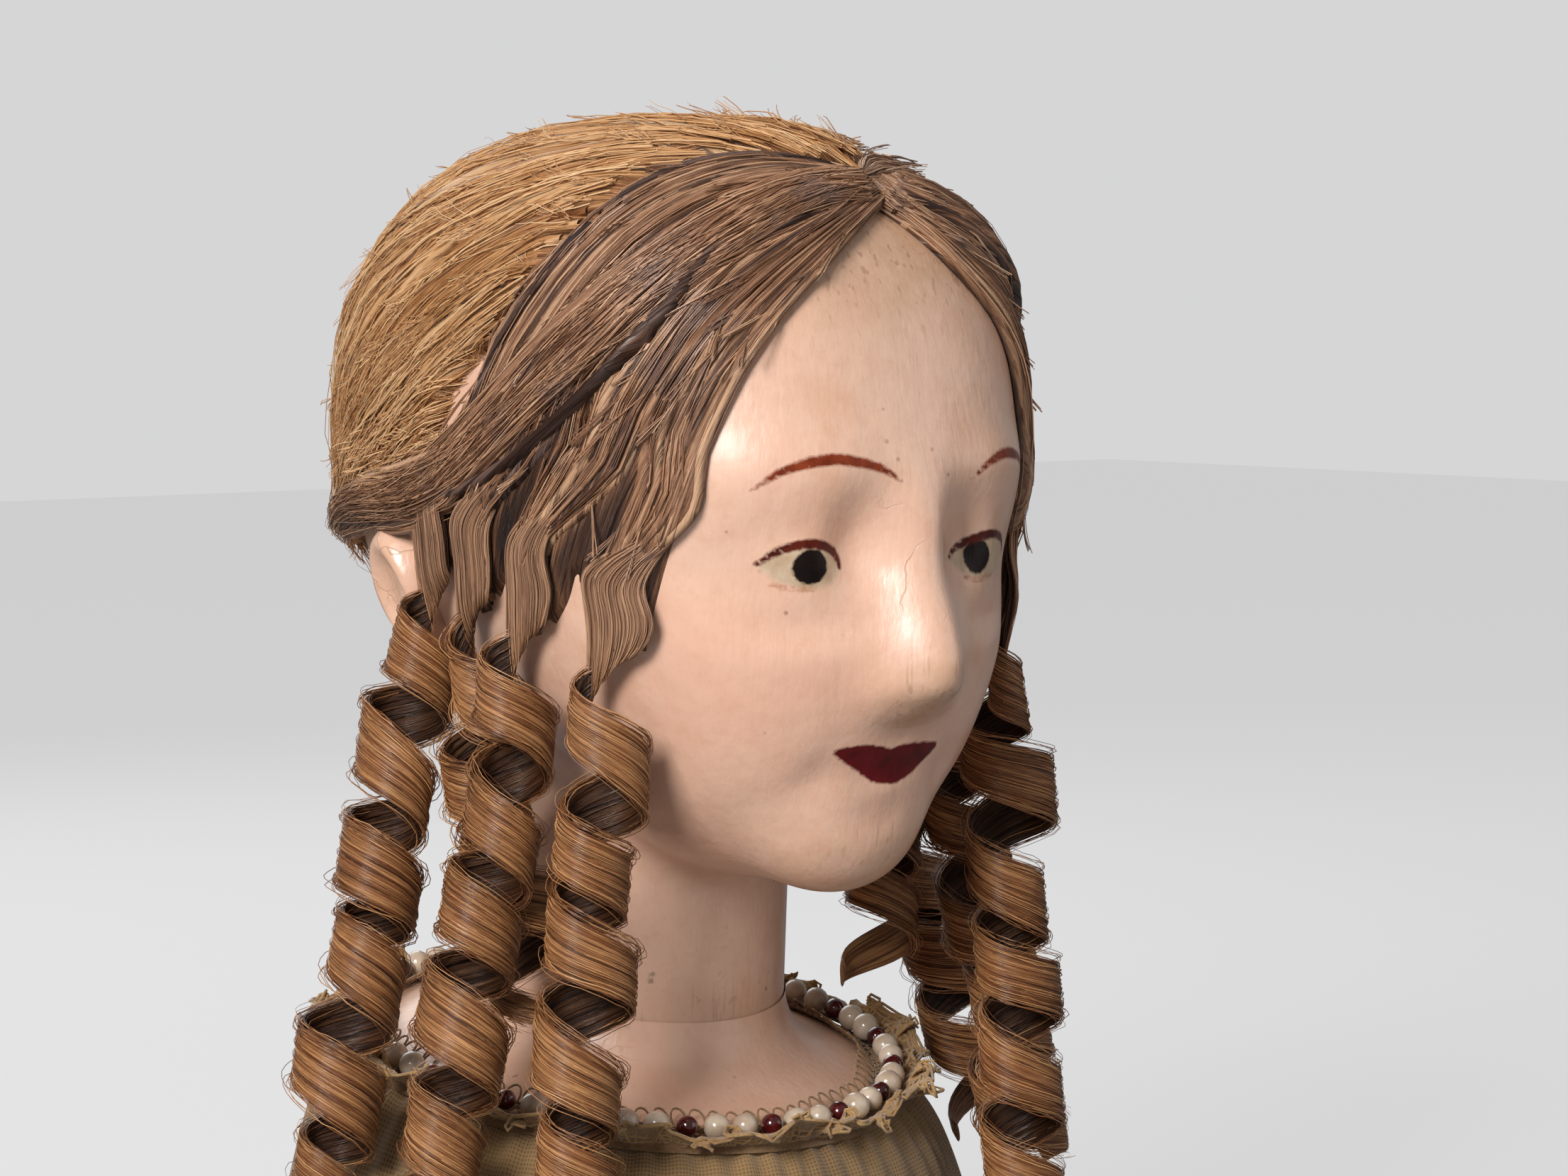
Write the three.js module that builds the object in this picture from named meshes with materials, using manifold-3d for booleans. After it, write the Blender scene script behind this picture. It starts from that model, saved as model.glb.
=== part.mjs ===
// A papier-mache doll's head and shoulders with glued flax hair, hanging ringlets and a lace neckline.
// Millimetres, +Z up. The doll faces -Y, and the origin is the middle of the board's underside.
import * as THREE from 'three';
import { mergeVertices } from 'three/addons/utils/BufferGeometryUtils.js';
import loadManifold from 'manifold-3d';

const wasm = await loadManifold();
wasm.setup();

// Gaps and walls
const clearance = 0.3;
const paperWall = 3.5;
const faceBacking = 0.7;
const clothThickness = 1.2;

// Head, given as the skull's and the face's rounded ellipsoids
const skullWidth = 93;
const skullDepth = 125;
const skullHeight = 103;
const skullMiddle = [0, -14, 187];
const skullSquareness = 2.5;
const faceWidth = 76;
const faceDepth = 82;
const faceHeight = 92;
const faceMiddle = [0, -36, 158.5];
const faceSquareness = 2.12;
const chinWidth = 24;
const chinMiddle = [0, -57, 121.5];
const noseTipHeight = 148.5;
const noseReach = 8.8;
const noseHalfWidth = 7.2;
const eyeSpacing = 40;
const eyeHeight = 168;
const mouthHeight = 133;
const seamY = 4;
const headCentre = [0, -8, 173];

// Neck, a slightly forward-leaning cone
const neckLowRadius = 29;
const neckTopRadius = 27.5;
const neckLowPoint = [0, 4, 60];
const neckTopPoint = [0, -3, 150];

// Torso, from the neck's seat down to the board
const seatHeight = 81;
const seatLip = 2;
const collarTilt = 0.2;
const necklineHeight = 77;
const necklineHalfWidth = 46.5;
const necklineHalfDepth = 45.5;
const shoulderDrop = 11;
const shoulderHeight = necklineHeight - shoulderDrop;
const shoulderHalfWidth = 56;
const shoulderHalfDepth = 51;
const chestHeight = 36;
const chestHalfWidth = 66;
const chestHalfDepth = 50.5;

// Board, post and plug
const boardThickness = 14;
const boardLip = 8;
const boardBevel = 1.5;
const rimPlugHeight = 12;
const postSide = 18;
const postTop = 150;
const mortiseDepth = 11;
const neckPlugBottom = 86;
const neckPlugThickness = 10;
const plugEase = 1.1;

// Tacks round the torso's rim
const tackCount = 4;
const tackLength = 9;
const tackRadius = 0.8;
const tackHeadRadius = 2.2;
const tackHeadThickness = 0.7;
const tackHeight = 6;

// Ears
const earHeight = 31;
const earDepth = 17;
const earThickness = 5;
const earMiddle = [45, 9, 158];

// Hair laid on the head
const hairSeat = 1.25;
const hairThickness = 3.4;
const crossLockThickness = 3;
const crossLockWidth = 13;
const partX = 4;

// Ringlets, each one flat ribbon wound in a left-handed screw
const ringletRadius = 5.4;
const ribbonWidth = 11.5;
const ribbonThickness = 1.5;
const curlPitch = 17.5;
const rootDrop = 1.0;
const rootWidth = 2.2;
const stepsPerCurl = 8;

// Trim round the neckline
const collarWidth = 5;
const collarThickness = 0.8;
const loopCount = 56;
const loopHeight = 1.6;
const frillWaves = 22;
const frillHeight = 7;
const frillSwing = 2;
const beadDiameter = 5;
const beadPitch = 5.25;
const threadRadius = 0.5;
const foldCount = 11;
const foldDepth = 3;
const hemStandoff = 2;
const hemHeight = 17;

// Helpers that make closed solids

function closedGeometry(points, triangles) {
  const volume = triangles.reduce((sum, [a, b, c]) => {
    const cross = new THREE.Vector3().crossVectors(points[b], points[c]);
    return sum + points[a].dot(cross);
  }, 0);
  const facing = volume < 0 ? triangles.map(([a, b, c]) => [a, c, b]) : triangles;
  const geometry = new THREE.BufferGeometry();
  geometry.setAttribute('position', new THREE.Float32BufferAttribute(points.flatMap((p) => p.toArray()), 3));
  geometry.setIndex(facing.flat());
  return geometry;
}

// Rings of points joined one after another, with flat ends
function tubeGeometry(rings) {
  const sides = rings[0].length;
  const points = rings.flat();
  const triangles = joinRings(rings, false);
  const last = (rings.length - 1) * sides;
  for (let k = 1; k < sides - 1; k += 1) {
    triangles.push([0, k + 1, k]);
    triangles.push([last, last + k, last + k + 1]);
  }
  return closedGeometry(points, triangles);
}

// Rings of points joined round until the last meets the first
function hoopGeometry(rings) {
  return closedGeometry(rings.flat(), joinRings(rings, true));
}

// Each square between two rings is split along its shorter diagonal
function joinRings(rings, round) {
  const count = rings.length;
  const sides = rings[0].length;
  const triangles = [];
  const spans = round ? count : count - 1;
  for (let i = 0; i < spans; i += 1) {
    const j = (i + 1) % count;
    const a = i * sides;
    const b = j * sides;
    for (let k = 0; k < sides; k += 1) {
      const n = (k + 1) % sides;
      const rising = rings[i][k].distanceTo(rings[j][n]);
      const falling = rings[i][n].distanceTo(rings[j][k]);
      if (rising < falling) triangles.push([a + k, a + n, b + n], [a + k, b + n, b + k]);
      else triangles.push([a + k, a + n, b + k], [a + n, b + n, b + k]);
    }
  }
  return triangles;
}

// Two grids of points, an outer and an inner one, joined round their borders
function sheetGeometry(columns, rows, outerAt, innerAt) {
  const points = [];
  [outerAt, innerAt].forEach((at) => {
    for (let j = 0; j <= rows; j += 1) {
      for (let i = 0; i <= columns; i += 1) {
        points.push(at(i / columns, j / rows));
      }
    }
  });
  const wide = columns + 1;
  const inner = wide * (rows + 1);
  const triangles = [];
  for (let j = 0; j < rows; j += 1) {
    for (let i = 0; i < columns; i += 1) {
      const a = j * wide + i;
      triangles.push([a, a + 1, a + wide + 1], [a, a + wide + 1, a + wide]);
      const b = inner + a;
      triangles.push([b, b + wide + 1, b + 1], [b, b + wide, b + wide + 1]);
    }
  }
  const border = [];
  for (let i = 0; i < columns; i += 1) border.push(i);
  for (let j = 0; j < rows; j += 1) border.push(j * wide + columns);
  for (let i = columns; i > 0; i -= 1) border.push(rows * wide + i);
  for (let j = rows; j > 0; j -= 1) border.push(j * wide);
  border.forEach((a, k) => {
    const b = border[(k + 1) % border.length];
    triangles.push([a, inner + a, inner + b], [a, inner + b, b]);
  });
  return closedGeometry(points, triangles);
}

// Boolean cuts and joins

function toSolid(geometry) {
  const bare = new THREE.BufferGeometry();
  bare.setAttribute('position', geometry.getAttribute('position'));
  bare.setIndex(geometry.index);
  const merged = mergeVertices(bare, 1e-4);
  const mesh = new wasm.Mesh({
    numProp: 3,
    vertProperties: new Float32Array(merged.attributes.position.array),
    triVerts: new Uint32Array(merged.index.array),
  });
  return new wasm.Manifold(mesh);
}

function toGeometry(solid) {
  const mesh = solid.getMesh();
  const geometry = new THREE.BufferGeometry();
  geometry.setAttribute('position', new THREE.BufferAttribute(mesh.vertProperties, 3));
  geometry.setIndex(new THREE.BufferAttribute(mesh.triVerts, 1));
  return geometry;
}

// The half of a solid in front of a plane across Y, or behind it
function halfOf(solid, planeY, front) {
  const reach = 1000;
  const block = new THREE.BoxGeometry(reach, reach, reach);
  const shift = (reach + clearance) / 2;
  block.translate(0, planeY + (front ? -shift : shift), 0);
  return toGeometry(solid.intersect(toSolid(block)));
}

// The head's surface as a distance, below zero inside

function clamp01(t) {
  return Math.min(Math.max(t, 0), 1);
}

function bump(across, up, spread, rise) {
  return Math.exp(-((across / spread) ** 2) - (up / rise) ** 2);
}

function blendMin(a, b, width) {
  const h = clamp01(0.5 + (0.5 * (b - a)) / width);
  return b + (a - b) * h - width * h * (1 - h);
}

function ellipsoid(x, y, z, middle, sizes, squareness) {
  const dx = x - middle[0];
  const dy = y - middle[1];
  const dz = z - middle[2];
  const sum = Math.abs((2 * dx) / sizes[0]) ** squareness
    + Math.abs((2 * dy) / sizes[1]) ** squareness
    + Math.abs((2 * dz) / sizes[2]) ** squareness;
  const scale = Math.max(sum ** (1 / squareness), 1e-6);
  return Math.hypot(dx, dy, dz) * (1 - 1 / scale);
}

// Smooth curve through [height, value] pairs
function profile(height, pairs) {
  const last = pairs.length - 1;
  const at = Math.min(Math.max(height, pairs[0][0]), pairs[last][0]);
  let i = 0;
  while (i < last - 1 && at > pairs[i + 1][0]) i += 1;
  const slope = (k) => {
    if (k === 0 || k === last) return 0;
    return (pairs[k + 1][1] - pairs[k - 1][1]) / (pairs[k + 1][0] - pairs[k - 1][0]);
  };
  const span = pairs[i + 1][0] - pairs[i][0];
  const t = (at - pairs[i][0]) / span;
  const from = pairs[i][1] * (1 + 2 * t) * (1 - t) ** 2 + slope(i) * span * t * (1 - t) ** 2;
  const to = pairs[i + 1][1] * t * t * (3 - 2 * t) + slope(i + 1) * span * t * t * (t - 1);
  return from + to;
}

function neckDistance(x, y, z) {
  const run = neckTopPoint[2] - neckLowPoint[2];
  const t = clamp01((z - neckLowPoint[2]) / run);
  const middleY = neckLowPoint[1] + (neckTopPoint[1] - neckLowPoint[1]) * t;
  const above = Math.max(z - neckTopPoint[2], 0);
  return Math.hypot(x, y - middleY, above) - (neckLowRadius + (neckTopRadius - neckLowRadius) * t);
}

function headDistance(x, y, z) {
  const ax = Math.abs(x);
  const eyeX = eyeSpacing / 2;
  const aboveEye = z - eyeHeight;
  const aboveMouth = z - mouthHeight;
  const aboveTip = z - noseTipHeight;
  let d = ellipsoid(x, y, z, skullMiddle, [skullWidth, skullDepth, skullHeight], skullSquareness);
  d = blendMin(d, ellipsoid(x, y, z, faceMiddle, [faceWidth, faceDepth, faceHeight], faceSquareness), 14);
  d = blendMin(d, ellipsoid(x, y, z, chinMiddle, [chinWidth, 17, 18], 2), 12);
  const front = clamp01((-y - 28) / 22);
  d += front * 3.4 * bump(ax - 11.5, aboveEye - 3, 5.5, 8);
  d += front * 2.4 * bump(ax, aboveEye + 1, 34, 9);
  d += front * 2.2 * bump(ax - eyeX - 5, aboveEye + 1, 11, 9);
  d -= front * 1.7 * bump(ax - eyeX, aboveEye, 8, 5);
  d += front * 1.2 * bump(ax - eyeX + 1.5, aboveEye + 10.5, 9, 3.6);
  d -= front * 1.5 * bump(ax - eyeX, aboveEye - 16, 13, 6);
  d += front * 1.2 * bump(ax, aboveMouth - 1, 16, 8);
  d += front * 0.7 * bump(ax - 13.5, aboveMouth, 3.6, 4.5);
  d -= front * 0.4 * bump(ax, aboveMouth + 3.2, 7, 2.4);
  d += front * 0.5 * bump(ax, aboveMouth + 8.4, 8, 2.8);
  const ridge = noseReach * profile(aboveTip, [
    [-12.5, 0], [-8, 0.06], [-5, 0.48], [-1.5, 0.93], [2, 1],
    [7.5, 0.84], [14.5, 0.61], [25.5, 0.36], [36.5, 0.11], [48.5, 0],
  ]);
  const half = profile(aboveTip, [[-1.5, noseHalfWidth], [20.5, 6], [30.5, 5.6], [48.5, 8]]);
  d -= front * ridge * Math.exp(-(Math.abs(x / half) ** 2.2));
  d -= front * 1.0 * bump(ax - 7.6, aboveTip + 1, 3.4, 3.6);
  return blendMin(d, neckDistance(x, y, z), 7);
}

// Where a ray from inside the head leaves the surface sunk by the given depth
function leavesHead(direction, depth, floorAt) {
  const outside = (r) => {
    const x = headCentre[0] + direction.x * r;
    const y = headCentre[1] + direction.y * r;
    const z = headCentre[2] + direction.z * r;
    const sunk = depth * (1 + faceBacking * clamp01((-y - 28) / 22));
    return Math.max(headDistance(x, y, z) + sunk, floorAt(y) - z) > 0;
  };
  let near = 12;
  let far = 130;
  while (far - near > 0.004) {
    const middle = (near + far) / 2;
    if (outside(middle)) far = middle;
    else near = middle;
  }
  return new THREE.Vector3(...headCentre).addScaledVector(direction, near);
}

const noFloor = () => -1000;

function onHead(point, lift) {
  const direction = new THREE.Vector3(...headCentre).negate().add(point).normalize();
  const foot = leavesHead(direction, 0, noFloor);
  const e = 0.2;
  const normal = new THREE.Vector3(
    headDistance(foot.x + e, foot.y, foot.z) - headDistance(foot.x - e, foot.y, foot.z),
    headDistance(foot.x, foot.y + e, foot.z) - headDistance(foot.x, foot.y - e, foot.z),
    headDistance(foot.x, foot.y, foot.z + e) - headDistance(foot.x, foot.y, foot.z - e),
  ).normalize();
  return foot.addScaledVector(normal, lift);
}

// Head and neck shell

const seatTop = (y) => seatHeight + collarTilt * (y - neckMiddleY(seatHeight));

function neckMiddleY(z) {
  const t = (z - neckLowPoint[2]) / (neckTopPoint[2] - neckLowPoint[2]);
  return neckLowPoint[1] + (neckTopPoint[1] - neckLowPoint[1]) * t;
}

function neckRadius(z) {
  const t = (z - neckLowPoint[2]) / (neckTopPoint[2] - neckLowPoint[2]);
  return neckLowRadius + (neckTopRadius - neckLowRadius) * t;
}

// A closed solid seen from the head's centre, flat underneath; its points crowd towards the face
function headSolid({ columns, rows, depth, floorAt, columnCrowding, rowCrowding }) {
  const radius = neckRadius(seatHeight) - depth;
  const middleY = neckMiddleY(seatHeight);
  const points = [leavesHead(new THREE.Vector3(0, 0, 1), depth, noFloor)];
  const triangles = [];
  for (let j = 1; j <= rows; j += 1) {
    for (let i = 0; i < columns; i += 1) {
      const w = (2 * i) / columns - 1;
      const turn = Math.PI * Math.sign(w) * Math.abs(w) ** columnCrowding;
      const side = new THREE.Vector3(Math.sin(turn), -Math.cos(turn), 0);
      const toNeck = middleY - headCentre[1];
      const along = side.y * toNeck;
      const reach = along + Math.sqrt(along * along - toNeck * toNeck + radius * radius);
      const rim = new THREE.Vector3(side.x * reach, headCentre[1] + side.y * reach, 0);
      rim.z = floorAt(rim.y);
      const fall = Math.atan2(reach, rim.z - headCentre[2]);
      const share = j / rows;
      const polar = fall * (share + (rowCrowding * Math.sin(2 * Math.PI * share)) / (2 * Math.PI));
      const direction = side.clone().multiplyScalar(Math.sin(polar));
      direction.z = Math.cos(polar);
      points.push(j === rows ? rim : leavesHead(direction, depth, floorAt));
    }
  }
  points.push(new THREE.Vector3(0, middleY, floorAt(middleY)));
  const ring = (j) => 1 + (j - 1) * columns;
  for (let i = 0; i < columns; i += 1) {
    const n = (i + 1) % columns;
    triangles.push([0, ring(1) + i, ring(1) + n]);
    triangles.push([points.length - 1, ring(rows) + n, ring(rows) + i]);
    for (let j = 1; j < rows; j += 1) {
      triangles.push([ring(j) + i, ring(j + 1) + i, ring(j + 1) + n]);
      triangles.push([ring(j) + i, ring(j + 1) + n, ring(j) + n]);
    }
  }
  return toSolid(closedGeometry(points, triangles));
}

function headShell() {
  const outer = headSolid({
    columns: 38,
    rows: 32,
    depth: 0,
    floorAt: (y) => seatTop(y) + clearance,
    columnCrowding: 1.45,
    rowCrowding: 0.4,
  });
  const cavity = headSolid({
    columns: 30,
    rows: 14,
    depth: paperWall,
    floorAt: (y) => seatTop(y) - 8,
    columnCrowding: 1.05,
    rowCrowding: -0.5,
  });
  return outer.subtract(cavity);
}

// Torso shell, in rows from the neck's seat to the board

const seatRadius = neckRadius(seatHeight);
const torsoRows = [
  { z: seatHeight, w: seatRadius - paperWall, d: seatRadius - paperWall, y: neckMiddleY(seatHeight), tilt: collarTilt },
  { z: seatHeight, w: seatRadius + seatLip, d: seatRadius + seatLip, y: neckMiddleY(seatHeight), tilt: collarTilt },
  { z: necklineHeight, w: necklineHalfWidth, d: necklineHalfDepth, y: 1, tilt: collarTilt },
  { z: shoulderHeight, w: shoulderHalfWidth, d: shoulderHalfDepth, y: 0, tilt: collarTilt * 0.75 },
  { z: chestHeight, w: chestHalfWidth, d: chestHalfDepth, y: 0, tilt: 0 },
  { z: boardThickness + clearance, w: chestHalfWidth, d: chestHalfDepth, y: 0, tilt: 0 },
];
const necklineRow = 2;
const footRow = torsoRows.length - 1;

function torsoRow(s) {
  const i = Math.min(Math.floor(s), footRow - 1);
  const t = s - i;
  const slope = (k, key) => {
    if (k <= 1 || k === footRow) return 0;
    return (torsoRows[k + 1][key] - torsoRows[k - 1][key]) / 2;
  };
  const row = {};
  Object.keys(torsoRows[0]).forEach((key) => {
    const a = torsoRows[i][key];
    const b = torsoRows[i + 1][key];
    const bend = slope(i, key) * t * (1 - t) ** 2 + slope(i + 1, key) * t * t * (t - 1);
    row[key] = a * (1 + 2 * t) * (1 - t) ** 2 + b * t * t * (3 - 2 * t) + bend;
  });
  return row;
}

function torsoSkin(turn, s) {
  const row = torsoRow(s);
  const x = row.w * Math.sin(turn);
  const y = row.y - row.d * Math.cos(turn);
  return new THREE.Vector3(x, y, row.z + row.tilt * (y - row.y));
}

// A point on the torso, lifted along its normal
function onTorso(turn, s, lift) {
  const e = 0.01;
  const down = torsoSkin(turn, Math.min(s + e, footRow)).sub(torsoSkin(turn, Math.max(s - e, 1)));
  const round = torsoSkin(turn + e, s).sub(torsoSkin(turn - e, s));
  const normal = new THREE.Vector3().crossVectors(down, round).normalize();
  return torsoSkin(turn, s).addScaledVector(normal, lift);
}

function torsoShell() {
  const columns = 36;
  const outerRows = [0, 1, 1.5, 2, 2.5, 3, 3.5, 4, footRow];
  const innerRows = [footRow, 4, 3, 2, 1.5, 1];
  const rings = [];
  for (let i = 0; i < columns; i += 1) {
    const turn = (2 * Math.PI * i) / columns;
    const outer = outerRows.map((s) => torsoSkin(turn, s));
    const inner = innerRows.map((s) => innerTorso(turn, s));
    const mouth = torsoSkin(turn, 0);
    mouth.z -= paperWall;
    rings.push([...outer, ...inner, mouth]);
  }
  return hoopGeometry(rings);
}

function innerTorso(turn, s) {
  if (s === footRow) {
    const foot = onTorso(turn, s - 0.02, -paperWall);
    foot.z = boardThickness + clearance;
    return foot;
  }
  return onTorso(turn, s, -paperWall);
}

// Tacks stand on the rim, square to the torso's side
function tackPlaces() {
  return Array.from({ length: tackCount }, (_, i) => {
    const turn = (2 * Math.PI * (i + 0.5)) / tackCount;
    const point = torsoSkin(turn, footRow);
    point.z = boardThickness + tackHeight;
    const out = new THREE.Vector3(Math.sin(turn) / chestHalfWidth, -Math.cos(turn) / chestHalfDepth, 0);
    return { point, out: out.normalize() };
  });
}

// A round bar lying along a tack's line
function tackBar(place, radius, from, to) {
  const bar = new THREE.CylinderGeometry(radius, radius, to - from, 12);
  bar.translate(0, (from + to) / 2, 0);
  const turn = new THREE.Quaternion().setFromUnitVectors(new THREE.Vector3(0, 1, 0), place.out);
  bar.applyQuaternion(turn);
  bar.translate(place.point.x, place.point.y, place.point.z);
  return toSolid(bar);
}

// The torso's widest bulge above the foot row is what the tack's head must clear
const tackSeat = 1.0;

function cutTackHoles(solid) {
  const cut = (left, place) => left.subtract(tackBar(place, tackRadius + clearance, -30, 30));
  return tackPlaces().reduce(cut, solid);
}

function tackGeometry(place) {
  const shank = tackBar(place, tackRadius, tackSeat - tackLength, tackSeat + 0.2);
  const head = tackBar(place, tackHeadRadius, tackSeat, tackSeat + tackHeadThickness);
  return toGeometry(shank.add(head));
}

// Board with a raised plug inside the torso's rim and a mortise for the post

function ellipsePrism(halfWidth, halfDepth, height, bevel) {
  const shape = new THREE.Shape();
  shape.absellipse(0, 0, halfWidth - bevel, halfDepth - bevel, 0, 2 * Math.PI);
  return new THREE.ExtrudeGeometry(shape, {
    depth: height - 2 * bevel,
    bevelEnabled: bevel > 0,
    bevelSize: bevel,
    bevelThickness: bevel,
    bevelSegments: 2,
    curveSegments: 18,
  }).translate(0, 0, bevel);
}

const postY = neckMiddleY(neckPlugBottom + neckPlugThickness / 2);
const postFoot = boardThickness + rimPlugHeight - mortiseDepth;

function boardGeometry() {
  const board = ellipsePrism(chestHalfWidth + boardLip, chestHalfDepth + boardLip, boardThickness, boardBevel);
  const inset = paperWall + 2 * clearance;
  const plug = ellipsePrism(chestHalfWidth - inset, chestHalfDepth - inset, rimPlugHeight + 2, 0);
  plug.translate(0, 0, boardThickness - 2);
  const mortise = new THREE.BoxGeometry(postSide + 2 * clearance, postSide + 2 * clearance, mortiseDepth * 2);
  mortise.translate(0, postY, boardThickness + rimPlugHeight);
  const solid = toSolid(board).add(toSolid(plug)).subtract(toSolid(mortise));
  return toGeometry(cutTackHoles(solid));
}

function postGeometry() {
  const foot = postFoot + clearance;
  const post = new THREE.BoxGeometry(postSide, postSide, postTop - foot);
  return post.translate(0, postY, (postTop + foot) / 2);
}

function neckPlugGeometry() {
  const lean = Math.abs(neckMiddleY(0) - neckMiddleY(neckPlugThickness / 2));
  const radius = neckRadius(neckPlugBottom + neckPlugThickness) - paperWall - lean - plugEase;
  const disc = new THREE.CylinderGeometry(radius, radius, neckPlugThickness, 36);
  disc.rotateX(Math.PI / 2);
  const hole = new THREE.BoxGeometry(postSide + 2 * clearance, postSide + 2 * clearance, neckPlugThickness * 2);
  const solid = toSolid(disc).subtract(toSolid(hole));
  return toGeometry(solid).translate(0, postY, neckPlugBottom + neckPlugThickness / 2);
}

// Ears, raised at the rim and dished in the middle

function earGeometry(side) {
  const at = (lift) => (u, v) => {
    const a = 2 * u - 1;
    const b = 2 * v - 1;
    const across = a * Math.sqrt(1 - (b * b) / 2);
    const up = b * Math.sqrt(1 - (a * a) / 2);
    const out = Math.hypot(across, up);
    const point = new THREE.Vector3(side * earMiddle[0], earMiddle[1], earMiddle[2]);
    point.y += (across * earDepth) / 2;
    point.z += (up * earHeight) / 2;
    return onHead(point, lift(out));
  };
  const rim = (out) => clearance + earThickness * (0.5 + 0.5 * bump(out - 0.72, 0, 0.25, 1) - 0.3 * out ** 8);
  return sheetGeometry(6, 8, at(rim), at(() => clearance));
}

// Hair laid on the head, between two edges that run down from the part

const hairlinePoints = [
  [-14.6, -69, 215], [-25.1, -68.6, 205], [-31, -66, 195], [-35, -63, 182],
  [-36.5, -57.5, 168], [-36.5, -53, 157], [-35, -49, 149],
];
const combedBackPoints = [
  [-12, -47, 231], [-29, -36, 221], [-41, -25, 205], [-46, -12, 187], [-47, -6, 172], [-46.5, -3, 157],
];
const napePoints = [
  [-45, 19, 180], [-38, 34, 168], [-22, 45, 159], [0, 49, 156],
];
const partFront = [partX, -63, 226];
const partBack = [partX, -56, 230.5];

function sideCurve(start, points, side) {
  const list = points.map(([x, y, z]) => new THREE.Vector3(-side * x, y, z));
  list.unshift(new THREE.Vector3(start[0] + side * clearance, start[1], start[2]));
  return new THREE.CatmullRomCurve3(list, false, 'centripetal');
}

// A point between two others, turned round the head's centre in equal steps
function sweepBetween(from, to, t) {
  const centre = new THREE.Vector3(...headCentre);
  const a = from.clone().sub(centre).normalize();
  const b = to.clone().sub(centre).normalize();
  const angle = Math.max(a.angleTo(b), 1e-4);
  a.multiplyScalar(Math.sin((1 - t) * angle)).addScaledVector(b, Math.sin(t * angle));
  return centre.addScaledVector(a.normalize(), skullWidth);
}

// Locks show as soft ridges that thin out towards a patch's borders
function lockLift(u, v, locks, seat, top) {
  const ridge = 0.84 + 0.16 * Math.cos(2 * Math.PI * locks * u);
  const border = Math.min(u, 1 - u, v, 1 - v);
  return seat + (top - seat) * ridge * (0.55 + 0.45 * clamp01(border / 0.12));
}

function curtainPoint(side, u, v) {
  const front = sideCurve(partFront, hairlinePoints, side).getPoint(v);
  const back = sideCurve(partBack, combedBackPoints, side).getPoint(v);
  return sweepBetween(front, back, u);
}

function curtainGeometry(side) {
  const outer = (u, v) => onHead(curtainPoint(side, u, v), lockLift(u, v, 5, hairSeat, hairThickness));
  const inner = (u, v) => onHead(curtainPoint(side, u, v), hairSeat);
  return sheetGeometry(12, 11, outer, inner);
}

function hairBackGeometry() {
  const right = sideCurve(partBack, combedBackPoints, -1);
  const left = sideCurve(partBack, combedBackPoints, 1);
  const nape = [...napePoints, ...napePoints.slice(0, -1).reverse().map(([x, y, z]) => [-x, y, z])];
  const napeCurve = new THREE.CatmullRomCurve3(nape.map((p) => new THREE.Vector3(...p)), false, 'centripetal');
  const lowest = 0.8;
  const place = (u, v) => {
    const w = 2 * u - 1;
    const front = w < 0 ? right.getPoint(-w * lowest) : left.getPoint(w * lowest);
    const back = napeCurve.getPoint(u);
    const gap = (3 * clearance) / front.distanceTo(back);
    return sweepBetween(front, back, gap + (1 - gap) * v);
  };
  const outer = (u, v) => onHead(place(u, v), lockLift(u, v, 9, hairSeat, hairThickness));
  const inner = (u, v) => onHead(place(u, v), hairSeat);
  return sheetGeometry(26, 12, outer, inner);
}

const crossLockPoints = [
  [-10, -60, 226], [-27, -58, 219], [-38.5, -49.5, 209], [-44.5, -36, 197], [-46.3, -18, 184], [-46, -3, 178],
  [-43, 14, 177], [-39, 25, 175],
];

function crossLockGeometry(side) {
  const path = sideCurve([partX + side * 4, -60, 228], crossLockPoints, side);
  const place = (u, v) => {
    const point = path.getPoint(v);
    const out = point.clone().sub(new THREE.Vector3(...headCentre)).normalize();
    const across = path.getTangent(v).cross(out).normalize();
    const width = crossLockWidth * (0.45 + 0.55 * Math.sin(Math.PI * Math.min(0.15 + v, 0.95)));
    return point.addScaledVector(across, (u - 0.5) * width);
  };
  const seat = hairThickness + 2 * clearance;
  const outer = (u, v) => onHead(place(u, v), lockLift(u, v, 3, seat, seat + crossLockThickness));
  const inner = (u, v) => onHead(place(u, v), seat);
  return sheetGeometry(6, 15, outer, inner);
}

// Ringlets hang from the curtain's lower edge, clear of the head and of the dress

const ringlets = [
  { name: '1', root: 0.95, stand: 7, tailTurn: 83, tailHeight: 58, gap: 2 },
  { name: '2', root: 0.38, stand: 5, tailTurn: 65, tailHeight: 55, gap: 3 },
  { name: '3', root: 0.06, stand: 5, tailTurn: 47, tailHeight: 38, gap: 3 },
  { name: '4', root: 0.66, stand: 1.5, tailTurn: 60, tailHeight: 90, gap: 3 },
];
const shoulderDrift = { right: 0, left: 5 };

// The dress's outermost distance from the body's axis, at one side and down to a height
function dressReach(turn, height) {
  let reach = 0;
  for (let s = 1; s <= footRow; s += 0.1) {
    const point = bodicePoint(turn, s, clothThickness);
    if (point.z > height - 12) reach = Math.max(reach, Math.hypot(point.x, point.y));
  }
  return reach;
}

function ringletRoot(side, ringlet) {
  const edge = curtainPoint(side, ringlet.root, 1);
  const middle = hairSeat + (hairThickness - hairSeat) * 0.3;
  const root = onHead(edge, middle);
  const out = onHead(edge, middle + 1).sub(root);
  out.z = 0;
  out.normalize();
  root.z -= rootDrop;
  return { root, out };
}

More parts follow.
